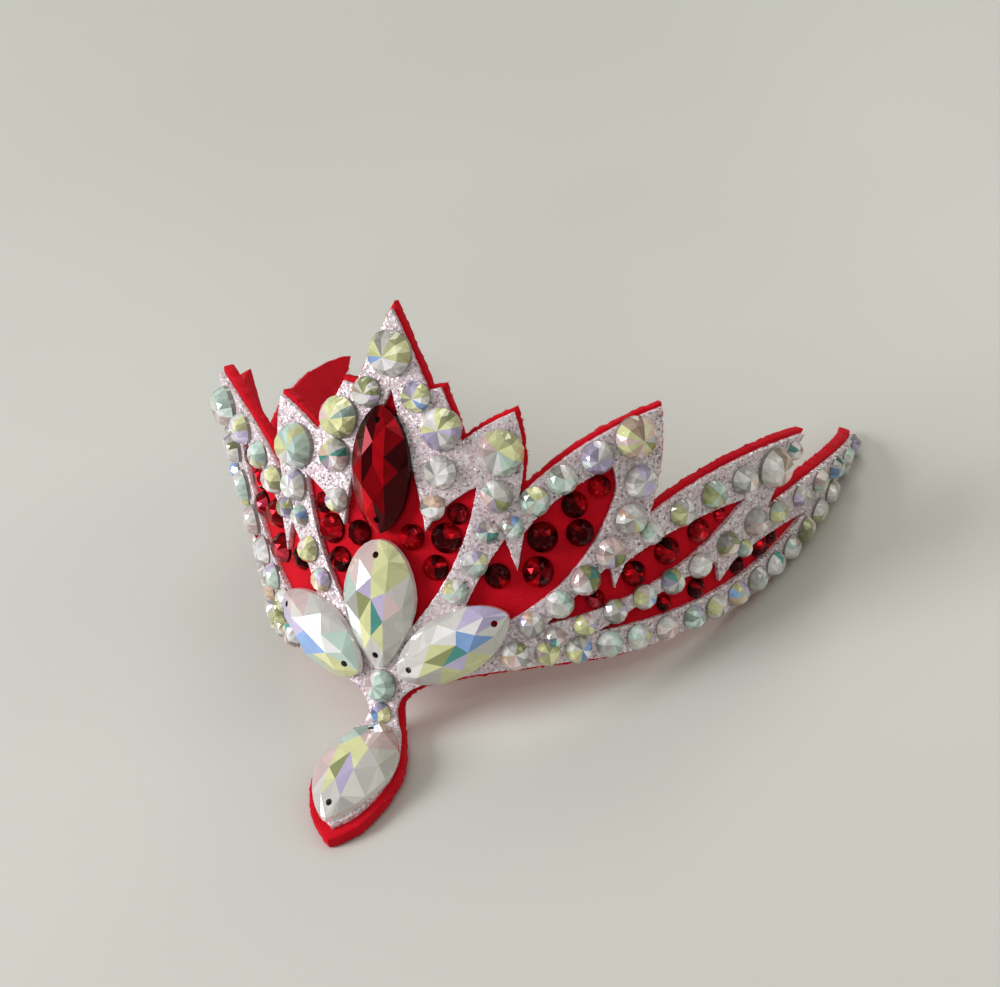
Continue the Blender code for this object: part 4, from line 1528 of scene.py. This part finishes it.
@dataclass
class SewOnStones:
    """The five sew-on stones, each with two thread holes."""

    form: BunForm
    sheet_top: float = 1.3
    lift: float = 0.3             # seat over the sheet, as in the part
    hole: float = 1.1
    hole_sides: int = 12
    hole_inset: float = 2.4       # from the stone's end to the hole's middle
    hole_past: tuple[float, float] = (2.0, 1.0)    # how far the drill goes past back and front
    seed: int = 40
    clear: CrystalFinish = CrystalFinish(painted_glint_mm=2.6, painted_glint=0.12)
    red: CrystalFinish = replace(RED_GLASS, painted_glint_mm=2.2, painted_glint=0.25)
    # Each stone's facet tints are painted reflections, highlights and shade as well as the
    # coating's own colours; the red navette's are lit and shaded reds.
    stones: tuple[SewOn, ...] = (
        SewOn("red_navette", Form.NAVETTE, 0.0, 26.1, 0.0, 21.4, 10.6, 3.4,
              (Tint.SCARLET, Tint.SCARLET, Tint.RUBY, Tint.RUBY, Tint.GARNET, Tint.GARNET),
              (Tint.SCARLET, Tint.RUBY, Tint.RUBY, Tint.SCARLET, Tint.SCARLET, Tint.GARNET),
              (Tint.RUBY, Tint.GARNET, Tint.GARNET, Tint.SCARLET, Tint.RUBY, Tint.GARNET)),
        SewOn("centre_drop", Form.DROP, 0.0, 3.6, 0.0, 21.6, 13.4, 3.6,
              (Tint.LEMON, Tint.LILAC, Tint.TEAL, Tint.LEMON, Tint.OLIVE, Tint.LILAC),
              (Tint.LEMON, Tint.BLUSH, Tint.LEMON, Tint.LEMON, Tint.SMOKE, Tint.PEARL),
              (Tint.LEMON, Tint.PEARL, Tint.PEARL, Tint.PEARL, Tint.MINT, Tint.BLUSH)),
        SewOn("right_navette", Form.NAVETTE, 12.5, -2.2, -56.5, 21.4, 10.8, 3.4,
              (Tint.SKY, Tint.TEAL, Tint.OLIVE, Tint.LEMON, Tint.WHITE, Tint.SKY),
              (Tint.SKY, Tint.LILAC, Tint.LEMON, Tint.PEARL, Tint.WHITE, Tint.WHITE),
              (Tint.PEARL, Tint.LEMON, Tint.PEARL, Tint.PEARL, Tint.PEARL, Tint.LILAC)),
        SewOn("left_navette", Form.NAVETTE, -12.5, -2.2, 56.5, 21.4, 10.8, 3.4,
              (Tint.WHITE, Tint.WHITE, Tint.WHITE, Tint.SKY, Tint.SKY, Tint.LILAC),
              (Tint.PEARL, Tint.WHITE, Tint.WHITE, Tint.LEMON, Tint.SKY, Tint.LILAC),
              (Tint.BLUSH, Tint.PEARL, Tint.MINT, Tint.LEMON, Tint.MINT, Tint.LILAC)),
        SewOn("pendant_drop", Form.DROP, 0.25, -29.9, 0.0, 22.2, 14.0, 3.6,
              (Tint.LEMON, Tint.LEMON, Tint.LILAC, Tint.OLIVE, Tint.LEMON, Tint.LEMON),
              (Tint.BLUSH, Tint.PEARL, Tint.LILAC, Tint.LEMON, Tint.BLUSH, Tint.MINT),
              (Tint.BLUSH, Tint.PEARL, Tint.PEARL, Tint.PEARL, Tint.BLUSH, Tint.MINT)),
    )

    def build(self) -> None:
        """Cut, drill and set the stones."""
        setter = StoneSetter(self.form)
        coated = self.clear.make("sew_on_crystal_coated")
        garnet = self.red.make("sew_on_crystal_red")
        for index, stone in enumerate(self.stones):
            is_red = stone.node == "red_navette"
            # Wall colours: red foil with painted shade round the foot, or the clear stones' pale
            # rim.
            palette, wall = (RED_TINTS, Tint.RED_FOIL_AND_SHADE) if is_red else (CLEAR_TINTS, Tint.PEARL)
            look, slot = (garnet, Slot.RED) if is_red else (coated, Slot.CLEAR)
            chosen = {"table": stone.table, "star": stone.star, "kite": stone.kite}
            cut = StoneCut(stone.form, stone.width, stone.length, stone.height, girdle=0.7,
                           sides=6, arc=5, table=0.46, shoulder=0.80, hub=(0.0, 0.06))
            painter = StonePainter(self.seed + index, palette, cut.sides, wall, chosen)
            work = setter.blank()
            seat = setter.seat(stone.s, stone.h, self.sheet_top + self.lift, stone.turn)
            cut.facets(work, seat, painter.paint)
            piece = put(stone.node + "_cut", work, look)
            self.drill(piece, setter, stone, seat)
            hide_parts(stone.node)

    def drill(self, piece: bpy.types.Object, setter: StoneSetter, stone: SewOn,
              seat: Seat) -> None:
        """Drill the two thread holes, whose walls are painted dark: painted shade inside the holes.

        Args:
            piece: the stone's piece.
            setter: makes the drill's mesh.
            stone: the stone.
            seat: where it sits.
        """
        work = setter.blank()
        layer = work.loops.layers.float_color[TINT_LAYER]
        n = self.hole_sides
        angles = [2.0 * math.pi * k / n for k in range(n)]
        radius = 0.5 * self.hole
        levels = (-self.hole_past[0], stone.height + self.hole_past[1])
        for end in (1.0, -1.0):
            middle = end * (0.5 * stone.length - self.hole_inset)
            rim = [(radius * math.sin(a), middle + radius * math.cos(a)) for a in angles]
            low, high = ([work.verts.new(seat(x, y, z)) for x, y in rim] for z in levels)
            work.faces.new(list(reversed(low)))
            work.faces.new(high)
            for k in range(n):
                after = (k + 1) % n
                work.faces.new((low[k], low[after], high[after], high[k]))
        # Painted shade on the hole walls.
        for made in work.faces:
            for corner in made.loops:
                corner[layer] = linear_colour(Tint.PAINTED_HOLE_SHADE.value)
        bmesh.ops.recalc_face_normals(work, faces=work.faces)
        mesh = bpy.data.meshes.new("drill")
        work.to_mesh(mesh)
        work.free()
        tool = add_object("drill", mesh)
        step = piece.modifiers.new("thread_holes", "BOOLEAN")
        step.object = tool
        step.operation = "DIFFERENCE"
        step.solver = "EXACT"
        graph = bpy.context.evaluated_depsgraph_get()
        done = bpy.data.meshes.new_from_object(piece.evaluated_get(graph))
        piece.modifiers.clear()
        piece.data = done
        bpy.data.objects.remove(tool, do_unlink=True)


@dataclass(frozen=True)
class Lamp:
    """A square soft light that faces the crown: place and width in metres, power in watts."""

    name: str
    place: tuple[float, float, float]
    width: float
    power: float
    colour: str


@dataclass
class Studio:
    """Table top, soft light and the camera of the photograph."""

    location: tuple[float, float, float] = (0.288078, -0.446731, 0.399922)
    turn_deg: tuple[float, float, float] = (53.6647, 12.3148, 22.8985)
    lens_mm: float = 138.4
    sensor_mm: float = 36.0
    near: float = 0.01
    table_size: float = 6.0
    table_level: float = -0.0002
    aim: tuple[float, float, float] = (0.0, 0.0, 0.03)
    room_light: float = 0.54
    lamps: tuple[Lamp, ...] = (
        Lamp("window_soft", (-0.60, -0.42, 0.47), 0.42, 6.4, "#FDFAFF"),
        Lamp("room_fill", (0.8, 0.1, 0.6), 0.6, 1.2, "#FFFDF4"),
        Lamp("back_soft", (-0.1, 0.9, 0.7), 0.5, 1.8, "#FFFDF4"),
        Lamp("spark", (0.25, -0.75, 0.95), 0.08, 0.7, "#FFFFFF"),
    )

    def build(self) -> None:
        """Make the studio."""
        bpy.context.scene.view_settings.view_transform = "Standard"
        bpy.ops.mesh.primitive_plane_add(size=self.table_size,
                                         location=(0.0, 0.0, self.table_level))
        floor = bpy.context.object
        floor.name = "table_top"
        floor.data.materials.append(TableFinish().make("satin_painted_table"))
        for lamp in self.lamps:
            self.light(lamp)
        self.surroundings()
        self.camera()

    def light(self, lamp: Lamp) -> None:
        """Hang one lamp.

        Args:
            lamp: the lamp.
        """
        data = bpy.data.lights.new(lamp.name, "AREA")
        data.size = lamp.width
        data.energy = lamp.power
        data.color = linear_colour(lamp.colour)[:3]
        made = add_object(lamp.name, data)
        made.location = lamp.place
        way = Vector(self.aim) - Vector(lamp.place)
        made.rotation_euler = way.to_track_quat("-Z", "Y").to_euler()

    def surroundings(self) -> None:
        """Pale room, brighter above, so that the facets have something to reflect."""
        world = bpy.data.worlds.new("room")
        bpy.context.scene.world = world
        world.use_nodes = True
        tree = world.node_tree
        where = add_node(tree, "ShaderNodeTexCoord").outputs["Generated"]
        parts = add_node(tree, "ShaderNodeSeparateXYZ", inputs={"Vector": where})
        sky = add_node(tree, "ShaderNodeValToRGB", inputs={"Fac": parts.outputs["Z"]}, stops=(
            (0.0, "#9C9A95"), (0.25, "#BEBCB7"), (0.6, "#DCDBD8"), (1.0, "#F0F0ED")))
        wire(tree, tree.nodes["Background"], {"Color": sky.outputs["Color"],
                                              "Strength": self.room_light})

    def camera(self) -> None:
        """Set up the camera where the photograph was taken."""
        data = bpy.data.cameras.new("photo_camera")
        data.lens = self.lens_mm
        data.sensor_width = self.sensor_mm
        data.clip_start = self.near
        camera = add_object("photo_camera", data)
        camera.location = self.location
        camera.rotation_euler = [math.radians(a) for a in self.turn_deg]
        bpy.context.scene.camera = camera


def main() -> None:
    """Build every sub-assembly in order and report it."""
    logging.basicConfig(level=logging.INFO, format="%(name)s: %(message)s")
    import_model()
    form = BunForm()
    pattern = CrownPattern()
    Studio().build()
    base = FeltBase(form, pattern)
    felt, fibres = base.build()
    glitter = GlitterOverlay(form, pattern).build()
    base.declare()
    for piece in (felt, fibres, *glitter):
        LOG.info("%s: %d faces", piece.name, len(piece.data.polygons))
    RoundStones(form, pattern).build()
    LOG.info("round stones are set")
    SewOnStones(form).build()
    LOG.info("sew-on stones are set")


if __name__ == "__main__":
    main()
